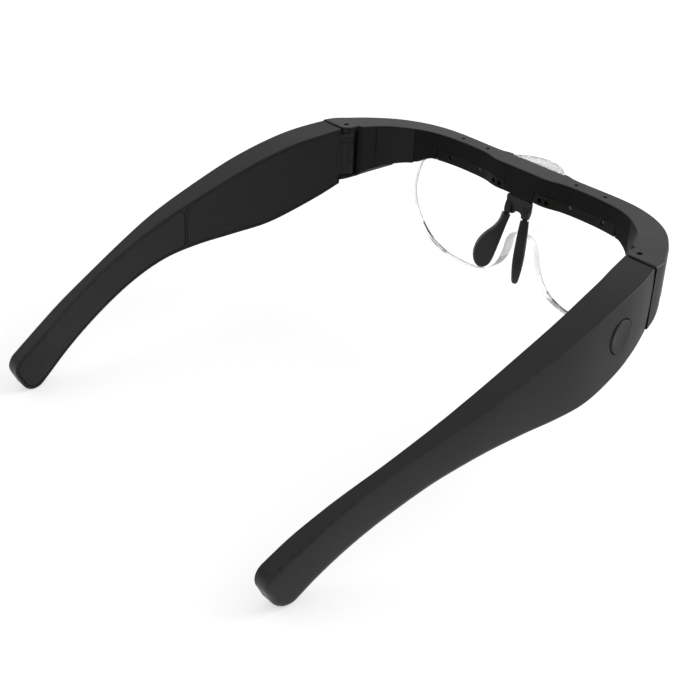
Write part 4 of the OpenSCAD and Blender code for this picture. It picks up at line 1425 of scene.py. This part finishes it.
@dataclass
class Magnifier:
    """The lens: one clear plate with two lobes, thicker towards the nose.

    Args:
        width: overall width.
        drop: depth of its lower edge.
        thickness: thickness in its slot.
        nose_half: half width of the nose opening.
        nose_top: depth of the top of the nose opening.
        rear: y of its rear face.
        swell: how much thicker it is beside the nose.
        slot_half: half width of the bar's slot.
        top: level of its upper edge in the slot.
        brow: level of the bar's underside over it.
        edge_turn: the share of y in a normal under which a face belongs to the edge.
    """

    width: float = 112.6
    drop: float = 47.4
    thickness: float = 3.2
    nose_half: float = 7.0
    nose_top: float = 25.5
    rear: float = -24.8
    swell: float = 2.2
    slot_half: float = 42.0
    top: float = -8.3
    brow: float = -10.4
    edge_turn: float = 0.75

    def lines(self) -> tuple[np.ndarray, np.ndarray]:
        """The upper and the lower edge of the left half, from the middle to the outside.

        Returns:
            The two lines, which meet at the outermost point.
        """
        half, drop, nose, slot = self.width / 2, self.drop, self.nose_half, self.slot_half
        outside = smooth_line([
            [slot + 2, self.brow - 0.5], [half - 8, -0.255 * drop], [half - 3.6, -0.305 * drop],
            [half - 1, -0.43 * drop], [half, -0.57 * drop], [half - 1.6, -0.7 * drop],
            [half - 5.4, -0.83 * drop], [half - 11, -0.93 * drop], [half - 18, -0.985 * drop],
            [half - 26, -drop], [nose + 16, -0.995 * drop], [nose + 9.6, -0.96 * drop],
            [nose + 5.6, -0.905 * drop], [nose + 2.8, -0.83 * drop], [nose + 0.6, -0.72 * drop],
            [nose - 0.2, -self.nose_top - 5], [nose - 1.7, -self.nose_top - 2],
            [nose - 4, -self.nose_top - 0.4], [0, -self.nose_top],
        ], 24)
        tip = int(np.argmax(outside[:, 0]))
        shoulder = [[0, self.top], [slot - 0.9, self.top], [slot - 0.6, self.top - 0.4],
                    [slot - 0.5, self.brow - 0.5]]
        return np.vstack([shoulder, outside[: tip + 1]]), outside[tip:][::-1]

    def front_face(self, x: np.ndarray, z: np.ndarray) -> np.ndarray:
        """The front face: flat in the slot, and swelling below it towards the nose.

        Args:
            x: distance from the middle.
            z: level.

        Returns:
            The face's y: ahead by the swell, times the root of the share of the half width that
            is left to the outside, times a ramp down from the slot.
        """
        share = np.clip(1 - np.abs(x) / (self.width / 2), 0, 1)
        return self.rear - self.thickness - self.swell * np.sqrt(share + 0.02) * ramp(-z, 11.5, 40)

    def lens(self) -> None:
        """The lens as a ruled grid between its upper and lower edge."""
        upper, lower = self.lines()
        x = np.unique(np.concatenate([
            upper[:, 0], lower[:, 0], crowded(0, self.width / 2, 120)[:-1], [self.width / 2],
        ]))
        x = x[np.concatenate([[True], np.diff(x) > 0.05])]
        x[-1] = self.width / 2
        x = np.concatenate([-x[:0:-1], x])
        sides = [
            np.column_stack([x, np.interp(np.abs(x), line[:, 0], line[:, 1])])
            for line in (upper, lower)
        ]
        solid = rolled_slab(
            sides[0], sides[1], self.front_face, level(self.rear), 0.35, 0.35, facing_front, 3, 20
        )
        piece = as_object("clear_lens", solid)
        piece.visible_shadow = False
        piece = settle(piece, LENS, "lens", ["magnifier_lens"], sharp=60, weighted=False)
        # The edge faces get the paler edge finish, with painted shade patches
        dress_faces(piece, LENS_EDGE, lambda at, n: self.on_edge(n))
        # Low edge faces get painted reflections of the dark parts, as dark grey patches
        dress_faces(piece, LENS_PAINTED_REFLECTION, self.painted_reflection_faces)
        dress_faces(piece, LENS_NOTCH, self.in_notch)

    def on_edge(self, n: np.ndarray) -> np.ndarray:
        """Whether faces with these normals belong to the edge."""
        return np.abs(n[:, 1]) < self.edge_turn

    def painted_reflection_faces(self, at: np.ndarray, n: np.ndarray) -> np.ndarray:
        """Whether faces lie on the edge, low on the right lobe or low outside on the left one: there reflections
        of the dark parts are painted on.
        """
        low = self.on_edge(n) & (at[:, 2] < -33)
        return low & ((at[:, 0] < -13) | (np.abs(at[:, 0] - 44) < 7))

    def in_notch(self, at: np.ndarray, n: np.ndarray) -> np.ndarray:
        """Whether faces lie on the edge round the nose opening."""
        return self.on_edge(n) & (np.abs(at[:, 0]) < 9) & (at[:, 2] < -20)


@dataclass
class NoseRest:
    """The bracket under the bar and the two pads on its arms.

    Args:
        front: y of the bracket's front face.
        rear: y of its rear face.
        half: its half width.
        stub_x: where the stubs stand that carry the pads.
        stub_top: level of the stubs' upper ends.
        tongue_half: half width of the tongue in the bar.
        length: length of a pad.
        thickness: thickness of a pad.
        turn: how many degrees a pad turns about its length.
        lean: how many degrees it leans back.
        pad_shift: how far a pad stands outside its stub.
        foot_reach: how far the feet stand back.
    """

    front: float = -23.0
    rear: float = -21.4
    half: float = 5.7
    stub_x: float = 3.9
    stub_top: float = -17.4
    tongue_half: float = 3.4
    length: float = 22.0
    thickness: float = 4.0
    turn: float = 50.0
    lean: float = 13.5
    pad_shift: float = 0.5
    foot_reach: float = 1.5

    def bracket(self) -> None:
        """A small plate with two short arms and a tongue up into the bar."""
        x = crowded(0, self.half, 60)
        top = -10.6 - (1 - np.sqrt(1 - np.clip(x - self.half + 1, 0, 1) ** 2))
        lower = smooth_line([
            [0, -16.0], [0.9, -16.1], [1.6, -16.5], [2.2, -17.3], [2.75, -17.5], [3.9, -17.6],
            [4.8, -17.3], [5.2, -16.4], [5.5, -15.3], [5.62, -13.6], [self.half, top[-1] - 0.1],
        ])
        low = np.interp(x, np.maximum.accumulate(lower[:, 0]), lower[:, 1])
        low[-1] = top[-1]
        upper_line = both_sides(np.column_stack([x, top])[::-1])
        lower_line = both_sides(np.column_stack([x, low])[::-1])
        plate = rolled_slab(
            upper_line, lower_line, level(self.front), level(self.rear), 0.45, 0.45, facing_front
        )
        half = self.tongue_half
        tongue = rolled_prism(
            np.array([[-half, -12], [half, -12], [half, -3], [-half, -3]]),
            self.front + 0.06, self.front + 1.16, 0, 0.2, facing_front,
        )
        stub = [[0.9, -3.5], [0.9, 3.5]]
        stubs = [turned(stub, 32, self.pad_lay(side, upright=True)) for side in (1, -1)]
        back = self.rear + 0.7 * self.foot_reach
        profile = np.array([
            [self.rear - 0.6, -12.4], [self.rear + 0.2, -13.2], [back - 0.25, -14.6], [back, -16.0],
            [back - 0.15, -17.2], [self.rear - 0.6, -17.35],
        ])
        feet = [
            rolled_prism(profile, 2.6, 5.5, 0.4, 0.4, lambda a, b, c, k=side: spots(k * c, a, b))
            for side in (1, -1)
        ]
        piece = joined("nose_rest_bracket", [plate, tongue, *feet, *stubs])
        settle(piece, BRACKET, "frame", ["nose_bracket"])

    def pad_lay(self, side: int, upright: bool = False) -> Lay:
        """Takes a pad's width, length and depth to its place, turned and leaning back.

        Args:
            side: the sign of x there.
            upright: whether it is for a turned piece, whose height follows the pad's length.

        Returns:
            The lay.
        """
        turn = Matrix.Rotation(math.radians(0 if upright else self.turn), 3, "Z")
        splay = Matrix.Rotation(math.radians(-8), 3, "Y")
        lean = Matrix.Rotation(math.radians(self.lean), 3, "X")
        frame_of_pad = np.array(splay @ lean @ turn)
        at = np.array([
            self.stub_x + self.pad_shift, self.rear + self.foot_reach / 3, self.stub_top - 0.4,
        ])

        def lay(a: np.ndarray, b: np.ndarray, c: np.ndarray) -> np.ndarray:
            """Width, then length upwards, then depth."""
            local = spots(a, b, c) if upright else spots(a, -c, b)
            return (local @ frame_of_pad.T + at) * [side, 1, 1]

        return lay

    def pad(self, side: Side) -> None:
        """A spatula: narrow at its stub, wide below, with soft edges and crowned faces.

        Args:
            side: the pad's side.
        """
        length = self.length
        round_it = smooth_line([
            [-1.35, 0], [-1.25, -0.33 * length], [-1.2, -0.65 * length], [-1.05, -0.84 * length],
            [-0.2, -0.945 * length], [1.7, -length], [3.9, -0.965 * length], [5.6, -0.86 * length],
            [6.3, -0.71 * length], [5.9, -0.56 * length], [4.7, -0.43 * length],
            [2.4, -0.27 * length], [1.5, -0.14 * length], [1.35, 0],
        ], 24)
        low = int(np.argmin(round_it[:, 1]))
        outer, inner = round_it[low:][::-1], round_it[: low + 1]
        b = crowded(0, -round_it[low, 1], 110)
        lines = [
            np.column_stack([np.interp(b, np.maximum.accumulate(-line[:, 1]), line[:, 0]), -b])
            for line in (outer, inner)
        ]
        above = lambda z: z + 0.55 * length
        long_way = lambda z: np.where(above(z) > 0, 0.45, 1.5) * above(z) ** 2
        crown = lambda a, z: ((a - 1.5) ** 2 + long_way(z)) / (2 * 3.2 * length)
        near = lambda a, z: -self.thickness / 2 + crown(a, z)
        far = lambda a, z: self.thickness / 2 - crown(a, z)
        round_r = 0.85 * (0.45 + 0.55 * ramp(b, 0, 0.2 * length))
        rims = np.concatenate([round_r, round_r])
        lay = self.pad_lay(side.value)
        solid = rolled_slab(lines[0], lines[1], near, far, rims, rims, lay, 5, 8)
        name = f"nose_pad_{side.label}"
        piece = as_object(f"soft_{name}", solid)
        piece = settle(piece, NOSE_PAD, "frame", [name], sharp=50)


# How the names of the pieces in a temple's inner face start
INLAY_WORDS = {"cover": "inner", "grip": "soft"}


@dataclass
class Temple:
    """A folding temple: its shell with the hinge barrel, the inner cover and the soft grip.

    Args:
        side: the wearer's left or right.
        reach: from the pin to the temple's end.
        drop: from the bar's top face to its lowest point.
        bulge: how far its widest point stands outside the pin.
        bay_thickness: thickness over the bay.
        tip_thickness: thickness at the tip.
        belly_drop: depth of the bay's belly.
        tip_r: rounding of the tip seen from the side.
        front: y of the shell's front end.
        rim: rim of the shell round the cover and the grip.
        inlay: thickness of the cover and the grip.
        seam: width of the seam round them.
        cover_end: y of the wall behind the cover.
        bay_end: y of the bay's rear end.
        divider: thickness of the rib between the cover and the grip.
        wall: wall of the shell over the bay.
        button_y: y of the button's middle.
        button_z: level of the button's middle.
        button_r: radius of the button.
        barrel_r: radius of the hinge barrel.
        barrel_low: level of its lower end.
        barrel_high: level of its upper end.
        grooves: levels of the two grooves round it.
    """

    side: Side
    reach: float = 140.2
    drop: float = 65.5
    bulge: float = 15.3
    bay_thickness: float = 11.0
    tip_thickness: float = 5.6
    belly_drop: float = 33.8
    tip_r: float = 5.0
    front: float = 4.15
    rim: float = 1.0
    inlay: float = 1.5
    seam: float = 0.13
    cover_end: float = 67.0
    bay_end: float = 64.5
    divider: float = 0.7
    wall: float = 1.7
    button_y: float = 21.8
    button_z: float = -15.3
    button_r: float = 5.3
    barrel_r: float = 3.7
    barrel_low: float = -18.5
    barrel_high: float = -2.5
    grooves: tuple[float, float] = (-5.6, -4.2)
    wide: np.ndarray = field(init=False)
    near: np.ndarray = field(init=False)
    crest: np.ndarray = field(init=False)
    belly: np.ndarray = field(init=False)
    upper_tip: np.ndarray = field(init=False)
    lower_tip: np.ndarray = field(init=False)

    def __post_init__(self) -> None:
        """Draws the temple's lines: outside, inside, crest and belly, each against y."""
        n, bulge, tip = self.reach, self.bulge, self.tip_thickness
        inside = bulge - self.bay_thickness
        self.wide = smooth_line([
            [self.front, 9.4], [0.086 * n, 11.8], [0.157 * n, bulge - 1.7], [0.285 * n, bulge],
            [0.414 * n, bulge - 0.3], [0.542 * n, bulge - 1.7], [0.656 * n, bulge - 4.7],
            [0.77 * n, bulge - 7.8], [0.87 * n, bulge - 9.9], [n, bulge - 12.5],
        ])
        self.near = smooth_line([
            [self.front, -2.2], [0.086 * n, -0.4], [0.157 * n, inside - 2.4], [0.285 * n, inside],
            [0.414 * n, inside + 1], [0.528 * n, inside + 1.4], [0.628 * n, inside + 0.9],
            [0.742 * n, bulge - 6.4 - tip], [0.856 * n, bulge - 9.6 - tip],
            [0.927 * n, bulge - 11.6 - tip], [n, bulge - 12.6 - tip],
        ])
        self.upper_tip = np.array([n - self.tip_r, -self.drop + self.tip_r + 3.6])
        self.lower_tip = np.array([n - self.tip_r - 1.8, -self.drop + self.tip_r])
        drop, belly = self.drop, -self.belly_drop
        angle = math.radians(57)
        out = self.tip_r * np.array([math.cos(angle), math.sin(angle)])
        self.crest = smooth_line([
            [self.front, -0.4], [0.157 * n, -3.7], [0.285 * n, -0.134 * drop],
            [0.428 * n, -0.238 * drop], [0.571 * n, -0.35 * drop], [0.713 * n, -0.48 * drop],
            [0.842 * n, -0.617 * drop], self.upper_tip + out,
        ])
        self.belly = smooth_line([
            [self.front, -21.6], [0.086 * n, belly + 8.4], [0.157 * n, belly + 4.3],
            [0.243 * n, belly + 1], [0.342 * n, belly], [0.442 * n, belly - 0.6],
            [0.542 * n, belly - 2.5], [0.642 * n, -0.626 * drop], [0.742 * n, -0.729 * drop],
            [0.842 * n, -0.85 * drop], self.lower_tip - out,
        ])

    def chains(self, inset: float) -> tuple[np.ndarray, np.ndarray]:
        """The crest and the belly with the tip's two rounds.

        Args:
            inset: how far they lie inside the shell's outline.

        Returns:
            The two lines, which meet at the tip.
        """
        r = self.tip_r - inset
        top = np.vstack([self.crest[:-1] - [0, inset], arc(self.upper_tip, r, 57, 0, 40)])
        low = np.vstack([
            self.belly[self.belly[:, 0] < self.lower_tip[0] - 4] + [0, inset],
            arc(self.lower_tip, r, -123, -22, 40),
            arc(self.upper_tip, r, -22, 0, 12),
        ])
        return top, low

    def outline(
        self, y0: float, y1: float, inset: float, corners: tuple[float, float] = (0, 0),
        count: int = 180,
    ) -> tuple[np.ndarray, np.ndarray]:
        """Crest and belly of a stretch of temple, with rounded front corners.

        Args:
            y0: where it starts.
            y1: where it ends; at the temple's reach it closes round the tip.
            inset: how far it lies inside the shell's outline.
            corners: radii of its upper and lower front corners.
            count: number of stations.

        Returns:
            The two lines, point for point.
        """
        top, low = self.chains(inset)
        to_tip = y1 >= self.reach - inset - 0.01
        y = crowded(y0, self.reach - inset if to_tip else y1, count)
        lines = []
        for line, r, sign in ((top, corners[0], -1), (low, corners[1], 1)):
            z = np.interp(y, line[:, 0], line[:, 1])
            if r > 0:
                t = np.clip(1 - (y - y0) / r, 0, 1)
                z = z + sign * r * (1 - np.sqrt(1 - t * t))
            lines.append(np.column_stack([y, z]))
        if to_tip:
            lines[1][-1] = lines[0][-1]
        return lines[0], lines[1]

    def outside_at(self, y: np.ndarray, z: np.ndarray) -> np.ndarray:
        """The outer face: the wide line, with a low crown between crest and belly.

        Args:
            y: distance behind the pin.
            z: level.

        Returns:
            Distance outwards from the pin: the wide line's, plus 0.35(4s(1 - s) - 0.6) at a
            share s of the height.
        """
        top = np.interp(y, *self.chains(0)[0].T)
        low = np.interp(y, *self.chains(0)[1].T)
        share = np.clip((z - low) / np.maximum(top - low, 1e-3), 0, 1)
        return np.interp(y, *self.wide.T) + 0.35 * (4 * share * (1 - share) - 0.6)

    def inside_at(self, y: np.ndarray, z: np.ndarray) -> np.ndarray:
        """The inner face: the near line at every level."""
        return np.interp(y, *self.near.T)

    def lay(self, y: np.ndarray, z: np.ndarray, w: np.ndarray) -> np.ndarray:
        """Puts y, z and the distance outwards from the pin on this temple's side."""
        return spots(self.side.value * (HALF_SPAN + w), y, z)

    def button_lay(self) -> Lay:
        """Takes a turned piece to the button's place, its height pointing out of the face.

        Returns:
            The lay.
        """
        wide = lambda y: float(np.interp(y, *self.wide.T))
        turn = math.atan((wide(self.button_y + 6) - wide(self.button_y - 6)) / 12)
        at = (wide(self.button_y), self.button_y)

        def lay(a: np.ndarray, b: np.ndarray, h: np.ndarray) -> np.ndarray:
            """a runs back along the face and b up it.

            Args:
                a: distance back along the face.
                b: distance up it.
                h: height over it.

            Returns:
                The points in place.
            """
            w = at[0] + h * math.cos(turn) + a * math.sin(turn)
            y = at[1] - h * math.sin(turn) + a * math.cos(turn)
            return self.lay(y, b + self.button_z, w)

        return lay

    def shell(self) -> None:
        """The shell: a long slab whose outer edges grow rounder to the rear, and its barrel."""
        upper, lower = self.outline(self.front, self.reach, 0)
        y = upper[:, 0]
        crest_r = np.interp(y, [4, 40, 90, 120, 140], [0.55, 0.5, 0.55, 0.9, 1.3])
        belly_r = np.interp(y, [4, 40, 90, 125, 140], [0.9, 1.3, 2.6, 2.8, 1.3])
        outer_r = np.concatenate([crest_r, belly_r])
        body = rolled_slab(
            upper, lower, self.inside_at, self.outside_at, 0.22, outer_r, self.lay, 7, 14
        )
        name = f"temple_shell_{self.side.label}"
        piece = as_object(f"arm_{name}", body)
        seat = self.inlay + 0.05
        before = lambda y, z: self.inside_at(y, z) - 1
        seat_floor = lambda y, z: self.inside_at(y, z) + seat
        bay_floor = lambda y, z: np.interp(y, *self.wide.T) - self.wall
        cover = self.outline(self.front + 0.6, self.cover_end, self.rim)
        grip = self.outline(self.cover_end + self.divider, self.reach, self.rim, (3.2, 2.0))
        bay = self.outline(self.front + 2, self.bay_end, self.wall)
        rooms = ((cover, seat_floor), (grip, seat_floor), (bay, bay_floor))
        carve(piece, [rolled_slab(*lines, before, far, lay=self.lay) for lines, far in rooms])
        carve(piece, self.barrel(), "UNION")
        cuts = [rod(self.side.value * HALF_SPAN, 0, 0.85, -22, 0)]
        if self.side is Side.RIGHT:
            hole = self.button_r + 0.16
            well = [[hole, -4], [hole, -0.3], [hole + 0.25, 0.05], [hole + 0.25, 3]]
            cuts += [turned(well, 96, self.button_lay()), *self.socket_cuts()]
        carve(piece, cuts)
        piece = settle(piece, TEMPLE_SHELL, self.body, [name])
        # Painted shade: faces that look inwards or belong to the hinge's end take the darker cover finish
        dress_faces(piece, TEMPLE_COVER, self.painted_shade_faces)

    @property
    def body(self) -> str:
        """The moving body that the temple's pieces ride on."""
        return f"temple_{self.side.label}"

    def painted_shade_faces(self, at: np.ndarray, n: np.ndarray) -> np.ndarray:
        """Whether faces look inwards or belong to the hinge's end, and so get painted shade: the darker cover
        finish.
        """
        inwards = n[:, 0] * self.side.value < -0.35
        return (n[:, 2] < 0.7) & (inwards | (at[:, 1] < self.front + 0.05))

    def socket_cuts(self) -> list[Solid]:
        """The opening round the charging socket and the hole for its light, from below.

        Returns:
            The two cutting solids.
        """
        socket, light = (
            np.array(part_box(node)) / MM - HINGE_LINE for node in ("charging_socket", "charge_light")
        )
        middle = light.mean(axis=0)
        low, high = socket[0] - 0.12, socket[1] + 0.12
        return [
            block([low[0], low[1], -45], [high[0], high[1], high[2]]),
            rod(middle[0], middle[1], 1.0, -45, -24, 32),
        ]

    def barrel(self) -> list[Solid]:
        """The barrel round the pin and the knuckle that carries it.

        Returns:
            The barrel and the knuckle, to be joined to the shell.
        """
        low, high, r, edge = self.barrel_low, self.barrel_high, self.barrel_r, 0.35
        x, side = self.side.value * HALF_SPAN, self.side.value
        profile = [[r - edge, low], [r, low + edge]]
        for groove in self.grooves:
            profile += [
                [r - cut, groove + rise]
                for cut, rise in ((0, -0.18), (0.2, -0.05), (0.2, 0.05), (0, 0.18))
            ]
        profile += [[r, high - edge], [r - edge, high]]
        near, far = sorted([x - side * 2.1, x + side * 3.3])
        return [
            turned(profile, 72, lambda a, b, c: spots(a + x, b, c)),
            block([near, 0, low], [far, self.front + 1, high], 0.2),
        ]

    def inlaid(
        self, kind: str, ends: tuple[float, float], corners: tuple[float, float], radius: float,
        finish: Finish,
    ) -> bpy.types.Object:
        """A piece let into the inner face, with a rounded border.

        Args:
            kind: cover or grip.
            ends: y where it starts and ends.
            corners: radii of its upper and lower front corners.
            radius: rounding of its border.
            finish: its finish.

        Returns:
            The settled piece.
        """
        upper, lower = self.outline(*ends, self.rim + self.seam, corners)
        far = lambda y, z: self.inside_at(y, z) + self.inlay
        solid = rolled_slab(upper, lower, self.inside_at, far, radius, 0.0, self.lay, 4, 10)
        node = f"temple_{kind}_{self.side.label}"
        return settle(as_object(f"{INLAY_WORDS[kind]}_{node}", solid), finish, self.body, [node])

    def cover(self) -> None:
        """The hard inner cover over the bay."""
        ends = (self.front + 0.6 + self.seam, self.cover_end - self.seam)
        self.inlaid("cover", ends, (0, 0), 0.22, TEMPLE_COVER)

    def grip(self) -> None:
        """The soft textured inlay on the rear half."""
        ends = (self.cover_end + self.divider + self.seam, self.reach)
        piece = self.inlaid("grip", ends, (3.1, 1.9), 0.35, GRIP)

    def button(self) -> None:
        """The button: a disc with a rolled edge and a shallow dish, a flange and a stem."""
        r, dish = self.button_r, 0.18
        turn = np.linspace(0, QUARTER_TURN, 6)
        edge = np.column_stack([r - 0.45 + 0.45 * np.cos(turn), -0.05 + 0.45 * np.sin(turn)])
        radii = np.linspace(r - 0.6, 0.2, 14)
        face = np.column_stack([radii, 0.4 - dish * (1 - (radii / (r - 0.6)) ** 2)])
        profile = np.vstack([
            [[1.1, -3.0], [1.1, -2.9], [r + 0.9, -2.9], [r + 0.9, -2.2], [r, -2.2]], edge, face,
        ])
        piece = as_object("push_button", turned(profile, 96, self.button_lay()))
        settle(piece, BUTTON, "power_button", ["power_button"])


# Studio


def seen_rays(tree: bpy.types.NodeTree) -> bpy.types.NodeSocket:
    """1 for a ray that the camera, a reflection or a clear piece sees, and 0 for the light.

    Args:
        tree: the tree.

    Returns:
        The result's socket.
    """
    path = add_node(tree, "ShaderNodeLightPath").outputs
    either = math_node(tree, "MAXIMUM", path["Is Camera Ray"], path["Is Glossy Ray"])
    return math_node(tree, "MAXIMUM", either, path["Is Transmission Ray"])


def mirror_rays(tree: bpy.types.NodeTree) -> bpy.types.NodeSocket:
    """1 for a ray that a surface has reflected and that has passed through nothing clear.

    Args:
        tree: the tree.

    Returns:
        The result's socket.
    """
    path = add_node(tree, "ShaderNodeLightPath").outputs
    reflected, passed = path["Is Glossy Ray"], path["Is Transmission Ray"]
    return math_node(tree, "SUBTRACT", reflected, passed, clamp=True)


def axes_of(tree: bpy.types.NodeTree, place: bpy.types.NodeSocket) -> Sequence[object]:
    """The X, Y and Z outputs of a place's Separate XYZ node.

    Args:
        tree: the tree.
        place: the place's socket.

    Returns:
        The three sockets by name.
    """
    split = add_node(tree, "ShaderNodeSeparateXYZ")
    tree.links.new(place, split.inputs[0])
    return split.outputs


@dataclass
class Studio:
    """The camera at the photograph's angle, a pale floor and soft light.

    Args:
        centre: where the camera stands, in metres.
        right: the direction of the picture's right side.
        up: the direction of the picture's upper side.
        focal: the camera's focal length on a sensor 36 wide.
        floor_radius: radius of the floor.
        floor_level: level of the floor, just under the temples' tips.
        floor_colour: its colour.
        floor_lift: what the floor adds for rays that see it, so that it is white.
        aim: the point that the lamps face.
    """

    centre: tuple[float, float, float] = (-0.2796, 0.2473, 0.2264)
    right: tuple[float, float, float] = (-0.6370, -0.7699, 0.0388)
    up: tuple[float, float, float] = (0.3925, -0.2805, 0.8759)
    focal: float = 68.82
    floor_radius: float = 8.0
    floor_level: float = -0.0002
    floor_colour: tuple[float, float, float, float] = (0.72, 0.72, 0.72, 1.0)
    floor_lift: float = 0.55
    aim: tuple[float, float, float] = (0.0, 0.0, 0.03)

    def camera(self) -> None:
        """Puts the camera where the photograph was taken from."""
        data = bpy.data.cameras.new("camera")
        data.sensor_fit, data.sensor_width, data.lens = "HORIZONTAL", 36, self.focal
        data.clip_start, data.clip_end = 0.01, 50
        camera = bpy.data.objects.new("camera", data)
        right = Vector(self.right).normalized()
        back = right.cross(Vector(self.up)).normalized()
        up = back.cross(right)
        turn = Matrix((right, up, back)).transposed().to_4x4()
        camera.matrix_world = Matrix.Translation(self.centre) @ turn
        bpy.context.scene.collection.objects.link(camera)
        bpy.context.scene.camera = camera

    def floor(self) -> None:
        """A large pale disc under the tips, white to the camera where no shadow falls.

        A reflection sees it darker in front than behind, as the photograph's room does.
        """
        mesh = bpy.data.meshes.new("studio_floor")
        turn, r = np.linspace(0, FULL_TURN, 96, endpoint=False), self.floor_radius
        ring = spots(r * np.cos(turn), r * np.sin(turn), np.full(96, self.floor_level))
        mesh.from_pydata(ring.tolist(), [], [list(range(96))])
        piece = bpy.data.objects.new("studio_floor", mesh)
        bpy.context.scene.collection.objects.link(piece)
        made = bpy.data.materials.new("studio_floor")
        made.use_nodes = True
        tree = made.node_tree
        shader = tree.nodes["Principled BSDF"]
        shader.inputs["Base Color"].default_value = self.floor_colour
        shader.inputs["Roughness"].default_value = 1.0
        shader.inputs["Specular IOR Level"].default_value = 0.0
        shader.inputs["Emission Color"].default_value = (1, 1, 1, 1)
        lift = math_node(tree, "MULTIPLY", seen_rays(tree), self.floor_lift)
        place = add_node(tree, "ShaderNodeNewGeometry").outputs["Position"]
        ends = {"From_Min": -0.06, "From_Max": 0.015, "To_Min": 0.17, "To_Max": 0.62}
        mirrored = mapped(tree, axes_of(tree, place)["Y"], **ends)
        strength = blended(tree, "FLOAT", mirror_rays(tree), lift, mirrored)
        tree.links.new(strength, shader.inputs["Emission Strength"])
        mesh.materials.append(made)

    def world(self) -> None:
        """White to the camera and through clear pieces, and softer for the light itself.

        A reflection sees it brighter in front than behind, and a little brighter on one side.
        """
        world = bpy.data.worlds.new("studio")
        bpy.context.scene.world = world
        world.use_nodes = True
        tree = world.node_tree
        light = tree.nodes["Background"]
        light.inputs["Color"].default_value = (1, 1, 1, 1)
        axes = axes_of(tree, add_node(tree, "ShaderNodeTexCoord").outputs["Generated"])
        sky, behind, aside = (
            mapped(tree, axes[axis], From_Min=low, From_Max=high, To_Min=first, To_Max=last)
            for axis, low, high, first, last in (
                ("Z", 0.1, 0.9, 0.8, 0.4), ("Y", -0.45, 0.15, 0.8, 0.5), ("X", 0.55, 0.8, 0.9, 1.05)
            )
        )
        mirrored = math_node(tree, "MULTIPLY", behind, aside)
        clear = blended(tree, "FLOAT", mirror_rays(tree), 1.0, mirrored)
        strength = blended(tree, "FLOAT", seen_rays(tree), sky, clear)
        tree.links.new(strength, light.inputs["Strength"])

    def lamp(self, name: str, at: Sequence[float], size: float, power: float) -> None:
        """A square soft box that faces the object's middle.

        Args:
            name: the lamp's name.
            at: where it stands, in metres.
            size: its side.
            power: its power in watts.
        """
        data = bpy.data.lights.new(name, "AREA")
        data.size, data.energy = size, power
        lamp = bpy.data.objects.new(name, data)
        lamp.location = at
        way = Vector(self.aim) - Vector(at)
        lamp.rotation_euler = way.to_track_quat("-Z", "Y").to_euler()
        bpy.context.scene.collection.objects.link(lamp)

    def build(self) -> None:
        """Sets up the whole studio."""
        self.camera()
        self.floor()
        self.world()
        self.lamp("key", (-0.45, -0.9, 0.6), 0.7, 5.0)
        self.lamp("fill", (0.6, 0.5, 0.9), 0.9, 1.2)
        bpy.context.scene.view_settings.view_transform = "Standard"


NODE_SLOTS = {row["node"]: row["material_slot"] for row in frame["record"]["subparts"]}


def dress_nodes() -> None:
    """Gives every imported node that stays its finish, by the record's slot for it."""
    finishes = {finish.slot: finish for finish in NODE_FINISHES}
    for name, piece in frame["nodes"].items():
        finish = finishes.get(NODE_SLOTS[name])
        if finish is None:
            continue
        for place in piece.material_slots:
            place.material = finish.material()
        log.info("%s keeps its packed shape and wears %s", name, finish.slot)


def main() -> None:
    """Builds the studio and the object's sub-assemblies in order."""
    logging.basicConfig(level=logging.INFO, format="%(message)s")
    Studio().build()
    bar = BrowBar()
    bar.front_shell()
    bar.rear_cover()
    bar.pad()
    bar.rail()
    Lamp().window()
    Magnifier().lens()
    rest = NoseRest()
    rest.bracket()
    for side in Side:
        rest.pad(side)
        temple = Temple(side)
        temple.shell()
        temple.cover()
        temple.grip()
        if side is Side.RIGHT:
            temple.button()
    dress_nodes()


if __name__ == "__main__":
    main()
